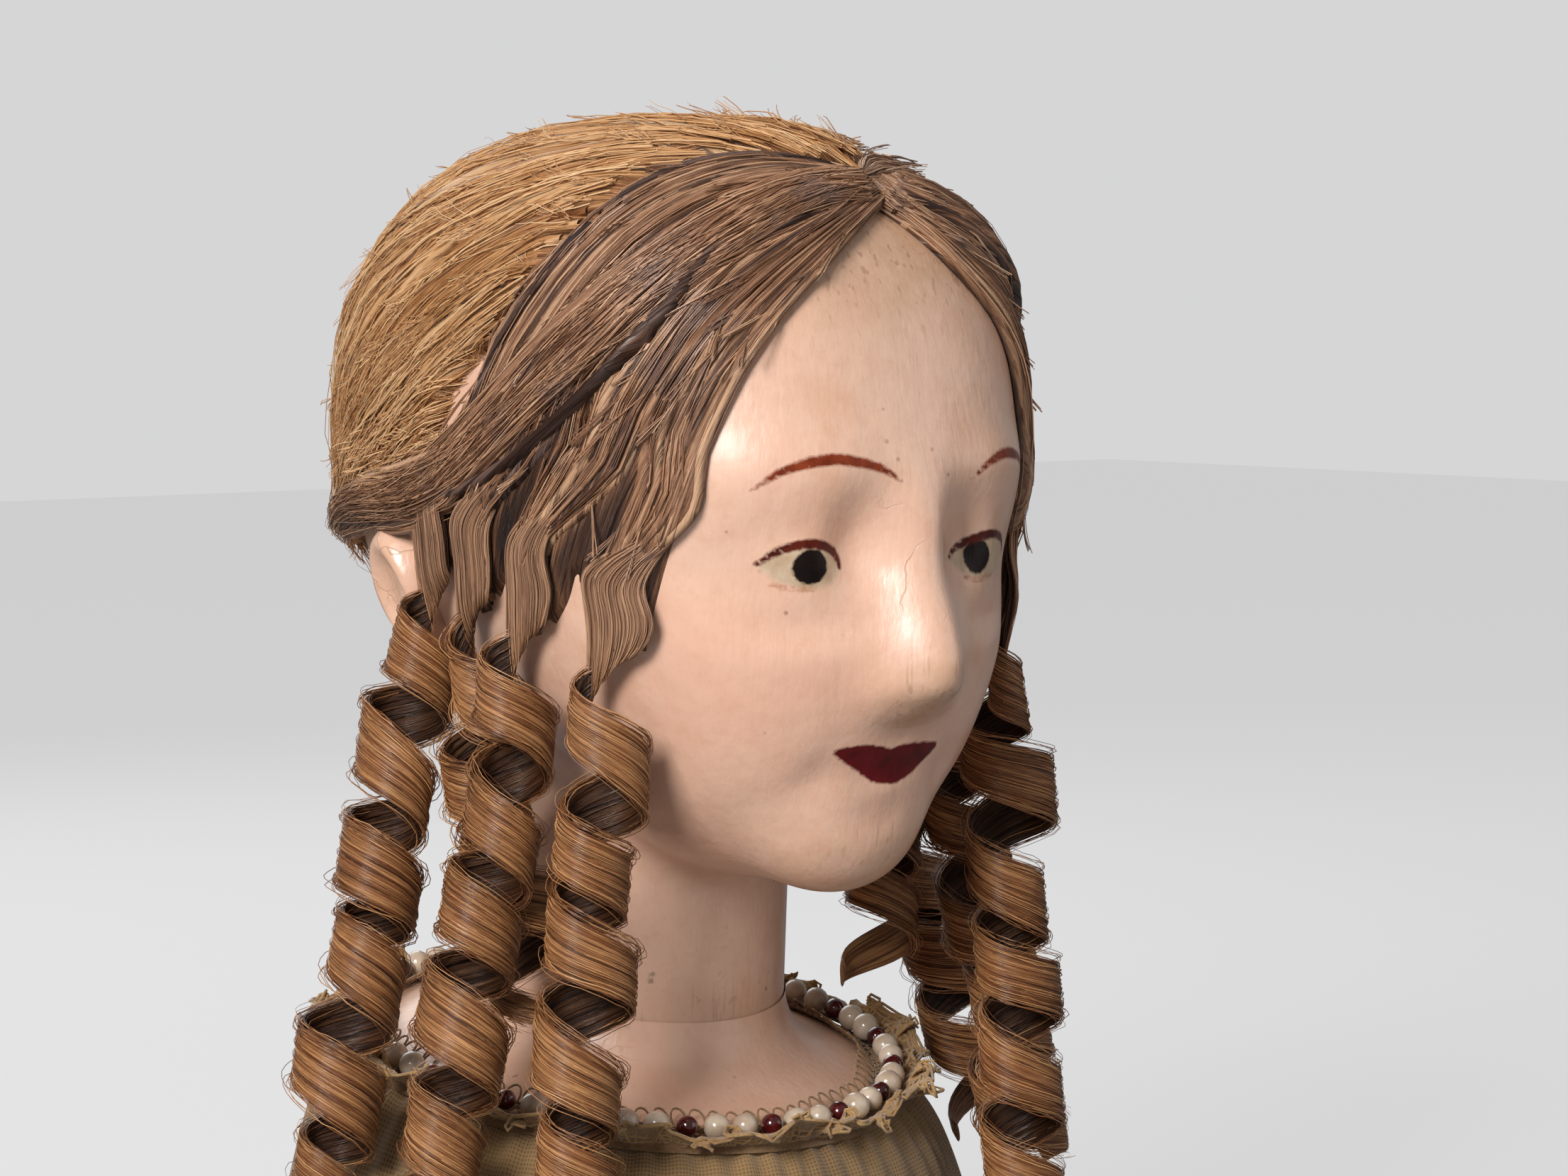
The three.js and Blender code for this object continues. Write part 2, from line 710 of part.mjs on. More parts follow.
function ringletPath(side, ringlet) {
  const { root, out } = ringletRoot(side, ringlet);
  const drift = side < 0 ? shoulderDrift.right : shoulderDrift.left;
  const turn = THREE.MathUtils.degToRad(side * (ringlet.tailTurn - drift));
  const radial = new THREE.Vector3(Math.sin(turn), -Math.cos(turn), 0);
  const outerRadius = ringletRadius + ribbonThickness;
  const short = ringlet.tailHeight > seatHeight;
  const reach = short ? seatRadius + ringlet.gap + 3 : dressReach(turn, ringlet.tailHeight);
  const tail = radial.multiplyScalar(reach + outerRadius + ringlet.gap);
  tail.z = ringlet.tailHeight;
  const bend = root.clone().addScaledVector(out, ringlet.stand);
  bend.z -= 12;
  return { path: new THREE.CatmullRomCurve3([root, bend, bend.clone().lerp(tail, 0.5), tail]), out, root };
}

// One cross-section of the ribbon, laid on the ringlet's cylinder
function ribbonRing(path, length, t, turns) {
  const middle = path.getPointAt(t);
  const axis = path.getTangentAt(t);
  const e1 = new THREE.Vector3(0, 1, 0).cross(axis).normalize();
  const e2 = axis.clone().cross(e1);
  const grow = clamp01((t * length) / (curlPitch * 0.75));
  const taper = clamp01(((1 - t) * length) / curlPitch);
  const swell = grow * grow * (3 - 2 * grow);
  const radius = 0.3 + (ringletRadius - 0.3) * swell;
  const half = (rootWidth + (ribbonWidth - rootWidth) * swell * (0.45 + 0.55 * taper)) / 2;
  const thick = (ribbonThickness * (0.5 + 0.5 * swell)) / 2;
  const climb = Math.atan2(curlPitch, 2 * Math.PI * ringletRadius);
  const section = [[-1, 0], [0, 1], [1, 0], [0.45, -1], [-0.45, -1]];
  return section.map(([s, lift]) => {
    const wrap = (s * half * Math.sin(climb) * swell) / ringletRadius;
    const turn = -2 * Math.PI * turns * t - wrap;
    const radial = e1.clone().multiplyScalar(Math.cos(turn)).addScaledVector(e2, Math.sin(turn));
    const point = middle.clone().addScaledVector(radial, radius + lift * thick);
    return point.addScaledVector(axis, s * half * Math.cos(climb) * -1);
  });
}

function leastSelfGap(rings) {
  let least = Infinity;
  rings.forEach((ring, i) => {
    for (let j = i + Math.ceil(stepsPerCurl * 0.75); j < rings.length; j += 1) {
      ring.forEach((p) => rings[j].forEach((q) => {
        least = Math.min(least, p.distanceTo(q));
      }));
    }
  });
  return least;
}

function ringletGeometry(side, ringlet) {
  const { path, out, root } = ringletPath(side, ringlet);
  const length = path.getLength();
  const turns = length / curlPitch;
  const steps = Math.round(turns * stepsPerCurl);
  const rings = Array.from({ length: steps + 1 }, (_, i) => ribbonRing(path, length, i / steps, turns));
  return { geometry: tubeGeometry(rings), gap: leastSelfGap(rings), out, root };
}

// Bodice, close at the neckline and standing off in folds at the hem

const bodiceTop = necklineRow + 0.12;
const hemRow = footRow - (hemHeight - boardThickness - clearance) / (chestHeight - boardThickness);

function bodicePoint(turn, s, lift) {
  const low = clamp01((s - bodiceTop - 0.6) / (footRow - bodiceTop - 0.6));
  const fold = foldDepth * low * (0.5 + 0.5 * Math.cos(turn * foldCount));
  return onTorso(turn, s, clearance + hemStandoff * low + fold + lift);
}

function bodiceGeometry(front) {
  const seam = (clearance * 2) / chestHalfWidth;
  const from = (front ? -Math.PI / 2 : Math.PI / 2) + seam / 2;
  const turnAt = (u) => from + u * (Math.PI - seam);
  const rowAt = (v) => bodiceTop + v * (hemRow - bodiceTop);
  const outer = (u, v) => bodicePoint(turnAt(u), rowAt(v), clothThickness);
  const inner = (u, v) => bodicePoint(turnAt(u), rowAt(v), 0);
  return sheetGeometry(29, 6, outer, inner);
}

// Neckline trim: flat lace on the skin, a gathered frill over the bodice's edge, beads on the lace

const rowsPerMm = 1 / torsoSkin(0, necklineRow - 0.5).distanceTo(torsoSkin(0, necklineRow)) / 2;
const collarOuter = bodiceTop - 2 * clearance * rowsPerMm;

function collarGeometry() {
  const columns = loopCount * 2;
  const rings = Array.from({ length: columns }, (_, i) => {
    const turn = (2 * Math.PI * i) / columns;
    const width = collarWidth + (i % 2 ? loopHeight : 0);
    const inner = collarOuter - width * rowsPerMm;
    const low = clearance;
    const high = clearance + collarThickness;
    return [
      onTorso(turn, collarOuter, low),
      onTorso(turn, collarOuter, high),
      onTorso(turn, inner, high),
      onTorso(turn, inner, low),
    ];
  });
  return hoopGeometry(rings);
}

function frillGeometry() {
  const columns = frillWaves * 5;
  const base = bodiceTop + 1.2 * rowsPerMm;
  const lift = clearance * 2 + clothThickness;
  const rings = Array.from({ length: columns }, (_, i) => {
    const turn = (2 * Math.PI * i) / columns;
    const wave = Math.sin(turn * frillWaves);
    const crest = base + (1 + wave) * frillSwing * rowsPerMm;
    const thick = 0.9 * rowsPerMm;
    return [
      onTorso(turn, base, lift),
      onTorso(turn, crest, lift + frillHeight),
      onTorso(turn, crest + thick, lift + frillHeight),
      onTorso(turn, base + 2 * thick, lift),
    ];
  });
  return hoopGeometry(rings);
}

function beadGeometry() {
  const row = collarOuter - (collarWidth / 2) * rowsPerMm;
  const lift = 2 * clearance + collarThickness + beadDiameter / 2;
  const spots = Array.from({ length: 120 }, (_, i) => onTorso((2 * Math.PI * i) / 120, row, lift));
  const loop = new THREE.CatmullRomCurve3(spots, true);
  const count = Math.floor(loop.getLength() / beadPitch);
  const stations = [[0, threadRadius], [0.28, beadDiameter / 2], [0.72, beadDiameter / 2]];
  const rings = [];
  for (let i = 0; i < count; i += 1) {
    stations.forEach(([shift, radius]) => rings.push(beadRing(loop, (i + shift) / count, radius)));
  }
  return hoopGeometry(rings);
}

// One ring of points square to the thread
function beadRing(loop, t, radius) {
  const middle = loop.getPointAt(t);
  const along = loop.getTangentAt(t);
  const out = new THREE.Vector3(0, 0, 1).cross(along).normalize();
  const up = along.clone().cross(out);
  const sides = 5;
  return Array.from({ length: sides }, (_, k) => {
    const turn = (2 * Math.PI * k) / sides;
    const spoke = out.clone().multiplyScalar(Math.cos(turn)).addScaledVector(up, Math.sin(turn));
    return middle.clone().addScaledVector(spoke, radius);
  });
}

// Finishes

function finish(colour, roughness) {
  return new THREE.MeshStandardMaterial({ color: colour, roughness, metalness: 0 });
}

const paintedPaper = () => finish(0xe6c3a8, 0.35);
const flax = () => finish(0x9a7042, 0.6);
const backFlax = () => finish(0xb0793c, 0.65);
const lace = () => finish(0xb79c6b, 0.9);
const cloth = () => finish(0x8a744f, 0.9);
const wood = () => finish(0x8d6a45, 0.7);
const iron = () => new THREE.MeshStandardMaterial({ color: 0x57534d, roughness: 0.5, metalness: 0.9 });
const pearl = () => finish(0xe4d6bf, 0.25);

// The doll

const doll = new THREE.Group();

function addPiece(name, geometry, material) {
  const mesh = new THREE.Mesh(geometry, material);
  mesh.name = name;
  doll.add(mesh);
  return mesh;
}

addPiece('base_board', boardGeometry(), wood());
addPiece('head_post', postGeometry(), wood());
addPiece('neck_plug', neckPlugGeometry(), wood());
tackPlaces().forEach((place, i) => addPiece(`rim_tack_${i + 1}`, tackGeometry(place), iron()));

const torso = cutTackHoles(toSolid(torsoShell()));
addPiece('torso_front_shell', halfOf(torso, 0, true), paintedPaper());
addPiece('torso_back_shell', halfOf(torso, 0, false), paintedPaper());

const shell = headShell();
addPiece('head_front_shell', halfOf(shell, seamY, true), paintedPaper());
addPiece('head_back_shell', halfOf(shell, seamY, false), paintedPaper());

addPiece('bodice_front', bodiceGeometry(true), cloth());
addPiece('bodice_back', bodiceGeometry(false), cloth());
addPiece('lace_collar', collarGeometry(), lace());
addPiece('lace_frill', frillGeometry(), lace());
addPiece('bead_string', beadGeometry(), pearl());
addPiece('hair_back', hairBackGeometry(), backFlax());

const gaps = [];
[['right', -1], ['left', 1]].forEach(([word, side]) => {
  addPiece(`${word}_ear`, earGeometry(side), paintedPaper());
  addPiece(`hair_curtain_${word}`, curtainGeometry(side), flax());
  addPiece(`cross_lock_${word}`, crossLockGeometry(side), flax());
  ringlets.forEach((ringlet) => {
    const made = ringletGeometry(side, ringlet);
    const mesh = addPiece(`ringlet_${word}_${ringlet.name}`, made.geometry, flax());
    mesh.userData.hinge = { point: made.root.toArray(), outward: made.out.toArray() };
    gaps.push(made.gap);
  });
});
console.log(`least gap of a ringlet to itself: ${Math.min(...gaps).toFixed(2)} mm`);

export default doll;
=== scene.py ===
import math
import bpy
import numpy as np
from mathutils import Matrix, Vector


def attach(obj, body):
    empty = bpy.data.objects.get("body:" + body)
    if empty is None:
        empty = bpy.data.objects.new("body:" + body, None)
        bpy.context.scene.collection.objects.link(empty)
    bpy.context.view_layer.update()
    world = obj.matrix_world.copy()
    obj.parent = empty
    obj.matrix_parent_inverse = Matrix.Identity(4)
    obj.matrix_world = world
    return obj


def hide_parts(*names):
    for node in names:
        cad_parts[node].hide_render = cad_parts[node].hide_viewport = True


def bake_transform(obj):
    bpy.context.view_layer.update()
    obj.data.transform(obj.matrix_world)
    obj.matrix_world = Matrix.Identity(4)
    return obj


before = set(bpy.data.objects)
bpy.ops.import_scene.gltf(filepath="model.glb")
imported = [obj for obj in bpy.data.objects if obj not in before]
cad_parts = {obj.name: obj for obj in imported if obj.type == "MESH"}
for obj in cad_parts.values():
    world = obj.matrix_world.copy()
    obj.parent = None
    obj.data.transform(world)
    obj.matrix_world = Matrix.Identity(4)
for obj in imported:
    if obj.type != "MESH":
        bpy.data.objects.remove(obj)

scene = bpy.context.scene
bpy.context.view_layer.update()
mm = 0.001  # shapes below are worked out in millimetres


# Small makers

def linear(hexText):
    parts = [int(hexText[i:i + 2], 16) / 255 for i in (0, 2, 4)]
    return tuple(c / 12.92 if c < 0.04045 else ((c + 0.055) / 1.055) ** 2.4 for c in parts) + (1.0,)


def makePiece(name, points, faces=(), material=None, edges=()):
    mesh = bpy.data.meshes.new(name)
    mesh.from_pydata((np.asarray(points) * mm).tolist(), edges, [list(f) for f in faces])
    mesh.update()
    mesh.polygons.foreach_set("use_smooth", [True] * len(mesh.polygons))
    if material:
        mesh.materials.append(material)
    piece = bpy.data.objects.new(name, mesh)
    scene.collection.objects.link(piece)
    return piece


def settle(piece, slot, *nodes):
    # fixed to the bust, and shown in place of its solids
    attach(piece, "bust")
    if nodes:
        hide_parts(*nodes)


def keepValue(piece, name, values):
    layer = piece.data.attributes.new(name, "FLOAT", "POINT")
    layer.data.foreach_set("value", np.asarray(values, np.float32))


def gridFaces(columns, rows, closed=False):
    wide = columns if closed else columns + 1
    faces = []
    for j in range(rows):
        for i in range(columns):
            n = (i + 1) % wide
            faces.append((j * wide + i, j * wide + n, (j + 1) * wide + n, (j + 1) * wide + i))
    return np.array(faces)


def unit(v):
    return v / np.maximum(np.linalg.norm(v, axis=-1, keepdims=True), 1e-9)


def smoothStep(t):
    t = np.clip(t, 0, 1)
    return t * t * (3 - 2 * t)


def splineAt(points, t):
    # Catmull-Rom through the points, t from 0 to 1
    p = np.asarray(points, float)
    p = np.vstack([2 * p[0] - p[1], p, 2 * p[-1] - p[-2]])
    f = np.clip(np.asarray(t, float), 0, 1) * (len(p) - 3)
    i = np.minimum(f.astype(int), len(p) - 4)
    f = (f - i)[..., None]
    a, b, c, d = p[i], p[i + 1], p[i + 2], p[i + 3]
    return 0.5 * (2 * b + (c - a) * f + (2 * a - 5 * b + 4 * c - d) * f ** 2
                  + (3 * b - a - 3 * c + d) * f ** 3)


# Head, the same rounded forms that the solids are cut from

headShape = {
    "centre": np.array([0.0, -8.0, 173.0]),
    "skull": ((0, -14, 187), (46.5, 62.5, 51.5), 2.5),
    "face": ((0, -36, 158.5), (38, 41, 46), 2.12),
    "chin": ((0, -57, 121.5), (12, 8.5, 9), 2.0),
    "neckLow": (0, 4, 60), "neckTop": (0, -3, 150), "neckRadii": (29, 27.5),
    "noseTip": 148.5, "noseReach": 8.8,
    "eyeX": 20, "eyeHeight": 168, "mouthHeight": 133,
    "meshStep": 0.88,
}


def rounded(p, middle, radii, square):
    q = np.abs(p - np.array(middle)) / np.array(radii)
    reach = np.maximum((q ** square).sum(-1) ** (1 / square), 1e-6)
    return np.linalg.norm(p - np.array(middle), axis=-1) * (1 - 1 / reach)


def blendMin(a, b, width):
    h = np.clip(0.5 + 0.5 * (b - a) / width, 0, 1)
    return b + (a - b) * h - width * h * (1 - h)


def bump(across, up, spread, rise):
    return np.exp(-(across / spread) ** 2 - (up / rise) ** 2)


def profile(height, knots):
    zs, vs = (np.array(k, float) for k in zip(*knots))
    slope = np.gradient(vs, zs)
    slope[0] = slope[-1] = 0
    z = np.clip(height, zs[0], zs[-1] - 1e-6)
    i = np.clip(np.searchsorted(zs, z, side="right") - 1, 0, len(zs) - 2)
    h = zs[i + 1] - zs[i]
    t = (z - zs[i]) / h
    rise = vs[i] * (1 + 2 * t) * (1 - t) ** 2 + slope[i] * h * t * (1 - t) ** 2
    return rise + vs[i + 1] * t * t * (3 - 2 * t) + slope[i + 1] * h * t * t * (t - 1)


def neckDistance(p):
    low, top = np.array(headShape["neckLow"], float), np.array(headShape["neckTop"], float)
    run = top - low
    t = np.clip(((p - low) @ run) / (run @ run), 0, 1)
    radius = headShape["neckRadii"][0] + (headShape["neckRadii"][1] - headShape["neckRadii"][0]) * t
    return np.linalg.norm(p - (low + t[..., None] * run), axis=-1) - radius


def headDistance(p):
    x, y, z = p[..., 0], p[..., 1], p[..., 2]
    ax = np.abs(x)
    eye, mouth, tip = z - headShape["eyeHeight"], z - headShape["mouthHeight"], z - headShape["noseTip"]
    eyeX = headShape["eyeX"]
    d = blendMin(rounded(p, *headShape["skull"]), rounded(p, *headShape["face"]), 14)
    d = blendMin(d, rounded(p, *headShape["chin"]), 12)
    front = np.clip((-y - 28) / 22, 0, 1)
    hollows = 3.4 * bump(ax - 11.5, eye - 3, 5.5, 8) + 2.4 * bump(ax, eye + 1, 34, 9)
    hollows += 2.2 * bump(ax - eyeX - 5, eye + 1, 11, 9) - 1.7 * bump(ax - eyeX, eye, 8, 5)
    hollows += 1.2 * bump(ax - eyeX + 1.5, eye + 10.5, 9, 3.6) - 1.5 * bump(ax - eyeX, eye - 16, 13, 6)
    hollows += 1.2 * bump(ax, mouth - 1, 16, 8) + 0.7 * bump(ax - 13.5, mouth, 3.6, 4.5)
    hollows += 0.5 * bump(ax, mouth + 8.4, 8, 2.8) - 0.4 * bump(ax, mouth + 3.2, 7, 2.4)
    ridge = headShape["noseReach"] * profile(tip, [
        (-12.5, 0), (-8, 0.06), (-5, 0.48), (-1.5, 0.93), (2, 1),
        (7.5, 0.84), (14.5, 0.61), (25.5, 0.36), (36.5, 0.11), (48.5, 0)])
    half = profile(tip, [(-10.5, 7.2), (-1.5, 7.2), (8.5, 7.0), (20.5, 6.0), (30.5, 5.6), (48.5, 8)])
    nose = ridge * np.exp(-np.abs(x / half) ** 2.2) + bump(ax - 7.6, tip + 1, 3.4, 3.6)
    return blendMin(d + front * (hollows - nose), neckDistance(p), 7)


def onHead(points, lift):
    # where a ray from the head's middle leaves the surface, lifted along the normal
    way = unit(np.asarray(points, float) - headShape["centre"])
    near, far = np.full(way.shape[:-1], 12.0), np.full(way.shape[:-1], 130.0)
    for _ in range(16):
        middle = (near + far) / 2
        out = headDistance(headShape["centre"] + way * middle[..., None]) > 0
        far = np.where(out, middle, far)
        near = np.where(out, near, middle)
    foot = headShape["centre"] + way * near[..., None]
    normal = np.zeros_like(foot)
    for k in range(3):
        step = np.zeros(3)
        step[k] = 0.3
        normal[..., k] = headDistance(foot + step) - headDistance(foot - step)
    normal = unit(normal)
    return foot + normal * np.asarray(lift, float)[..., None], normal


def surfaceNet(distance, low, high, step):
    # one point in each cell that the surface crosses, joined by squares
    count = [int(np.ceil((high[i] - low[i]) / step)) + 1 for i in range(3)]
    axes = [low[i] + step * np.arange(count[i]) for i in range(3)]
    value = np.empty(count, np.float32)
    for i in range(count[0]):
        value[i] = distance(np.stack(np.meshgrid([axes[0][i]], axes[1], axes[2], indexing="ij"), -1))[0]
    cells = [n - 1 for n in count]
    hits, place = np.zeros(cells), np.zeros(cells + [3])
    window = lambda c: tuple(slice(c[k], count[k] - 1 + c[k]) for k in range(3))
    for a in [(i, j, k) for i in (0, 1) for j in (0, 1) for k in (0, 1)]:
        for axis in range(3):
            if a[axis]:
                continue
            b = tuple(1 if k == axis else a[k] for k in range(3))
            va, vb = value[window(a)], value[window(b)]
            cross = (va < 0) != (vb < 0)
            t = np.where(cross, va / np.where(cross, va - vb, 1), 0)
            for k in range(3):
                place[..., k] += np.where(cross, a[k] + (t if k == axis else 0), 0)
            hits += cross
    used = hits > 0
    number = -np.ones(cells, int)
    number[used] = np.arange(used.sum())
    corner = np.stack(np.meshgrid(*[np.arange(n) for n in cells], indexing="ij"), -1)
    points = (corner[used] + place[used] / hits[used][:, None]) * step + np.array(low)
    squares = []
    for axis in range(3):
        e, g = (axis + 1) % 3, (axis + 2) % 3
        a = [slice(1, n - 1) for n in count]
        a[axis] = slice(0, count[axis] - 1)
        b = list(a)
        b[axis] = slice(1, count[axis])
        va, vb = value[tuple(a)], value[tuple(b)]
        cross = (va < 0) != (vb < 0)
        cell = np.argwhere(cross) + np.array([0 if k == axis else 1 for k in range(3)])
        corners = []
        for de, dg in ((1, 1), (0, 1), (0, 0), (1, 0)):
            c = cell.copy()
            c[:, e] -= de
            c[:, g] -= dg
            corners.append(number[c[:, 0], c[:, 1], c[:, 2]])
        square = np.stack(corners, -1)
        turned = (va >= 0)[cross]
        square[turned] = square[turned][:, ::-1]
        squares.append(square)
    return points, np.concatenate(squares)


# Torso rows, from the neck's seat to the foot

torsoShape = {
    "rows": np.array([  # height, half width, half depth, middle y, tilt
        [81.0, 25.15, 25.15, 2.37, 0.2], [81.0, 30.65, 30.65, 2.37, 0.2], [77.0, 46.5, 45.5, 1.0, 0.2],
        [66.0, 56.0, 51.0, 0.0, 0.15], [36.0, 66.0, 50.5, 0.0, 0.0], [14.3, 66.0, 50.5, 0.0, 0.0]]),
    "neckline": 2.12, "hem": 4.88, "folds": 11, "foldDepth": 3.0, "hemStandoff": 2.0,
}


def torsoSkin(turn, s):
    rows = torsoShape["rows"]
    last = len(rows) - 1
    slope = np.zeros_like(rows)
    slope[2:last] = (rows[3:] - rows[1:last - 1]) / 2
    s = np.asarray(s, float)
    i = np.minimum(s.astype(int), last - 1)
    t = (s - i)[..., None]
    row = rows[i] * (1 + 2 * t) * (1 - t) ** 2 + rows[i + 1] * t * t * (3 - 2 * t)
    row = row + slope[i] * t * (1 - t) ** 2 + slope[i + 1] * t * t * (t - 1)
    x = row[..., 1] * np.sin(turn)
    y = row[..., 3] - row[..., 2] * np.cos(turn)
    return np.stack([x, y, row[..., 0] + row[..., 4] * (y - row[..., 3])], -1)


def onTorso(turn, s, lift):
    turn, s = np.broadcast_arrays(np.asarray(turn, float), np.asarray(s, float))
    down = torsoSkin(turn, np.minimum(s + 0.01, 4.999)) - torsoSkin(turn, np.maximum(s - 0.01, 1))
    around = torsoSkin(turn + 0.01, s) - torsoSkin(turn - 0.01, s)
    normal = unit(np.cross(down, around))
    return torsoSkin(turn, s) + normal * np.asarray(lift, float)[..., None], normal


# Materials

def shader(name):
    material = bpy.data.materials.new(name)
    material.use_nodes = True
    tree = material.node_tree
    return material, tree, tree.nodes["Principled BSDF"]


def plug(tree, node, inputs):
    # links sockets and sets plain values
    for key, given in inputs.items():
        if isinstance(given, bpy.types.NodeSocket):
            tree.links.new(given, node.inputs[key])
        else:
            node.inputs[key].default_value = given


def put(tree, kind, inputs=None, **settings):
    node = tree.nodes.new(kind)
    for key, setting in settings.items():
        setattr(node, key, setting)
    plug(tree, node, inputs or {})
    return node


def ramp(tree, share, *stops):
    node = put(tree, "ShaderNodeValToRGB", {"Fac": share})
    band = node.color_ramp
    while len(band.elements) < len(stops):
        band.elements.new(0.5)
    for element, (place, hexText) in zip(band.elements, stops):
        element.position = place
        element.color = linear(hexText)
    return node.outputs["Color"]


def blendColour(tree, share, a, b, way="MIX"):
    a, b = (linear(c) if isinstance(c, str) else c for c in (a, b))
    return put(tree, "ShaderNodeMix", {0: share, 6: a, 7: b}, data_type="RGBA", blend_type=way).outputs[2]


def sums(tree, way, a, b=0.0, clamp=False):
    return put(tree, "ShaderNodeMath", {0: a, 1: b}, operation=way, use_clamp=clamp).outputs[0]


def times(tree, a, b):
    return sums(tree, "MULTIPLY", a, b)


def weigh(tree, a, shareA, b, shareB):
    return sums(tree, "ADD", times(tree, a, shareA), times(tree, b, shareB))


def spread(tree, share, low, high, toLow=0.0, toHigh=1.0):
    return put(tree, "ShaderNodeMapRange", {0: share, 1: low, 2: high, 3: toLow, 4: toHigh}).outputs[0]


def noise(tree, where, scale, detail=4.0, rough=0.55, twist=0.0):
    node = put(tree, "ShaderNodeTexNoise", {
        "Vector": where, "Scale": scale, "Detail": detail, "Roughness": rough, "Distortion": twist})
    return node.outputs["Fac"]


def place(tree, scale=(1, 1, 1), turn=(0, 0, 0)):
    where = put(tree, "ShaderNodeTexCoord").outputs["Object"]
    mapped = put(tree, "ShaderNodeMapping", {"Vector": where, "Scale": scale, "Rotation": turn})
    return mapped.outputs["Vector"]


def value(tree, name):
    return put(tree, "ShaderNodeAttribute", attribute_name=name).outputs["Fac"]


def relief(tree, bsdf, height, strength, depth):
    node = put(tree, "ShaderNodeBump", {"Height": height, "Strength": strength, "Distance": depth})
    plug(tree, bsdf, {"Normal": node.outputs["Normal"]})


def oilPaint(name, painted):
    material, tree, bsdf = shader(name)
    where = place(tree)
    patches = noise(tree, where, 38, 5, 0.6)
    colour = ramp(tree, patches, (0.3, "e2b095"), (0.52, "e8bda3"), (0.72, "dcaa8b"))
    mottle = noise(tree, where, 420, 6, 0.7)
    colour = blendColour(tree, spread(tree, mottle, 0.5, 0.8, 0, 0.4), colour, "cf9a7a")
    if painted:
        colour = blendColour(tree, times(tree, value(tree, "flush"), 0.3), colour, "e09a80")
    stains = spread(tree, noise(tree, where, 120, 6, 0.7), 0.3, 0.7, 0.35, 1)
    colour = blendColour(tree, times(tree, value(tree, "soil"), stains), colour, "a77f52")
    flecks = spread(tree, noise(tree, where, 330, 6, 0.7), 0.6, 0.68)
    colour = blendColour(tree, times(tree, value(tree, "grime"), flecks), colour, "4a2f22")
    comb = noise(tree, place(tree, (850, 850, 75), (0.1, 0.05, 0.0)), 1.0, 2, 0.5)
    comb = times(tree, spread(tree, comb, 0.6, 0.68), value(tree, "soil"))
    colour = blendColour(tree, comb, colour, "a2765a")
    # fine crazing, warped so that it never runs straight
    warp = put(tree, "ShaderNodeTexNoise", {"Vector": where, "Scale": 90, "Detail": 3}).outputs["Color"]
    bent = put(tree, "ShaderNodeMix", {0: 0.012, 4: where, 5: warp}, data_type="VECTOR").outputs[1]
    craze = put(tree, "ShaderNodeTexVoronoi", {"Vector": bent, "Scale": 62}, feature="DISTANCE_TO_EDGE")
    line = spread(tree, craze.outputs["Distance"], 0.002, 0.008, 1, 0)
    line = times(tree, line, spread(tree, noise(tree, where, 26, 2), 0.55, 0.66))
    colour = blendColour(tree, times(tree, line, 0.4), colour, "8d6243")
    speck = put(tree, "ShaderNodeTexVoronoi", {"Vector": where, "Scale": 240}).outputs["Distance"]
    dot = spread(tree, speck, 0.07, 0.12, 1, 0)
    dot = times(tree, dot, spread(tree, noise(tree, where, 60, 2), 0.58, 0.66))
    colour = blendColour(tree, times(tree, dot, 0.7), colour, "6d4a33")
    if painted:
        marked = 0.0
        edge = times(tree, sums(tree, "SUBTRACT", noise(tree, where, 900, 3), 0.5), 0.7)
        for mark, hexText, dark, soft, streak in paintMarks:
            cover = spread(tree, sums(tree, "ADD", value(tree, mark), edge), soft, -soft)
            if streak:
                worn = noise(tree, place(tree, streak), 1.0, 4, 0.7)
                cover = sums(tree, "MULTIPLY", cover, spread(tree, worn, 0.3, 0.55, 0.35, 1), True)
            tone = blendColour(tree, spread(tree, noise(tree, where, 350, 3), 0.35, 0.7), hexText, dark)
            colour = blendColour(tree, cover, colour, tone)
            marked = sums(tree, "MAXIMUM", cover, marked)
        plug(tree, bsdf, {"Specular IOR Level": spread(tree, marked, 0, 1, 0.5, 0.16),
                          "Coat Weight": spread(tree, marked, 0, 1, 0.5, 0.05)})
    else:
        plug(tree, bsdf, {"Coat Weight": 0.4})
    gloss = spread(tree, noise(tree, where, 70, 4), 0.3, 0.7, 0.3, 0.46)
    plug(tree, bsdf, {"Base Color": colour, "Roughness": gloss, "Coat Roughness": 0.22})
    brush = noise(tree, place(tree, (900, 900, 130), (0.2, 0.1, 0.0)), 1.0, 4, 0.6)
    height = sums(tree, "ADD", times(tree, brush, 0.3), noise(tree, where, 140, 4, 0.5))
    relief(tree, bsdf, sums(tree, "SUBTRACT", height, times(tree, line, 0.5)), 0.45, 0.0007)
    return material


def flax(name, dark, mid, light, gloss, streaks=None):
    # loose fibres, with a tone drawn once for each strand
    material, tree, bsdf = shader(name)
    where = place(tree)
    mixed = weigh(tree, value(tree, "tone"), 0.62, noise(tree, where, 75, 4, 0.6), 0.42)
    colour = ramp(tree, mixed, (0.12, dark), (0.5, mid), (0.88, light))
    if streaks:
        share = spread(tree, noise(tree, where, 130, 2), 0.54, 0.68, 0, 0.5)
        colour = blendColour(tree, share, colour, streaks)
    combed = blendColour(tree, mixed, "583524", "d8aa88")
    colour = blendColour(tree, value(tree, "rooty"), colour, combed)
    # painted shade: darkened where the strand's shade value is set
    colour = blendColour(tree, value(tree, "shade"), colour, hairShadeTone, "MULTIPLY")
    plug(tree, bsdf, {"Base Color": colour, "Roughness": gloss, "Specular IOR Level": 0.6})
    return material


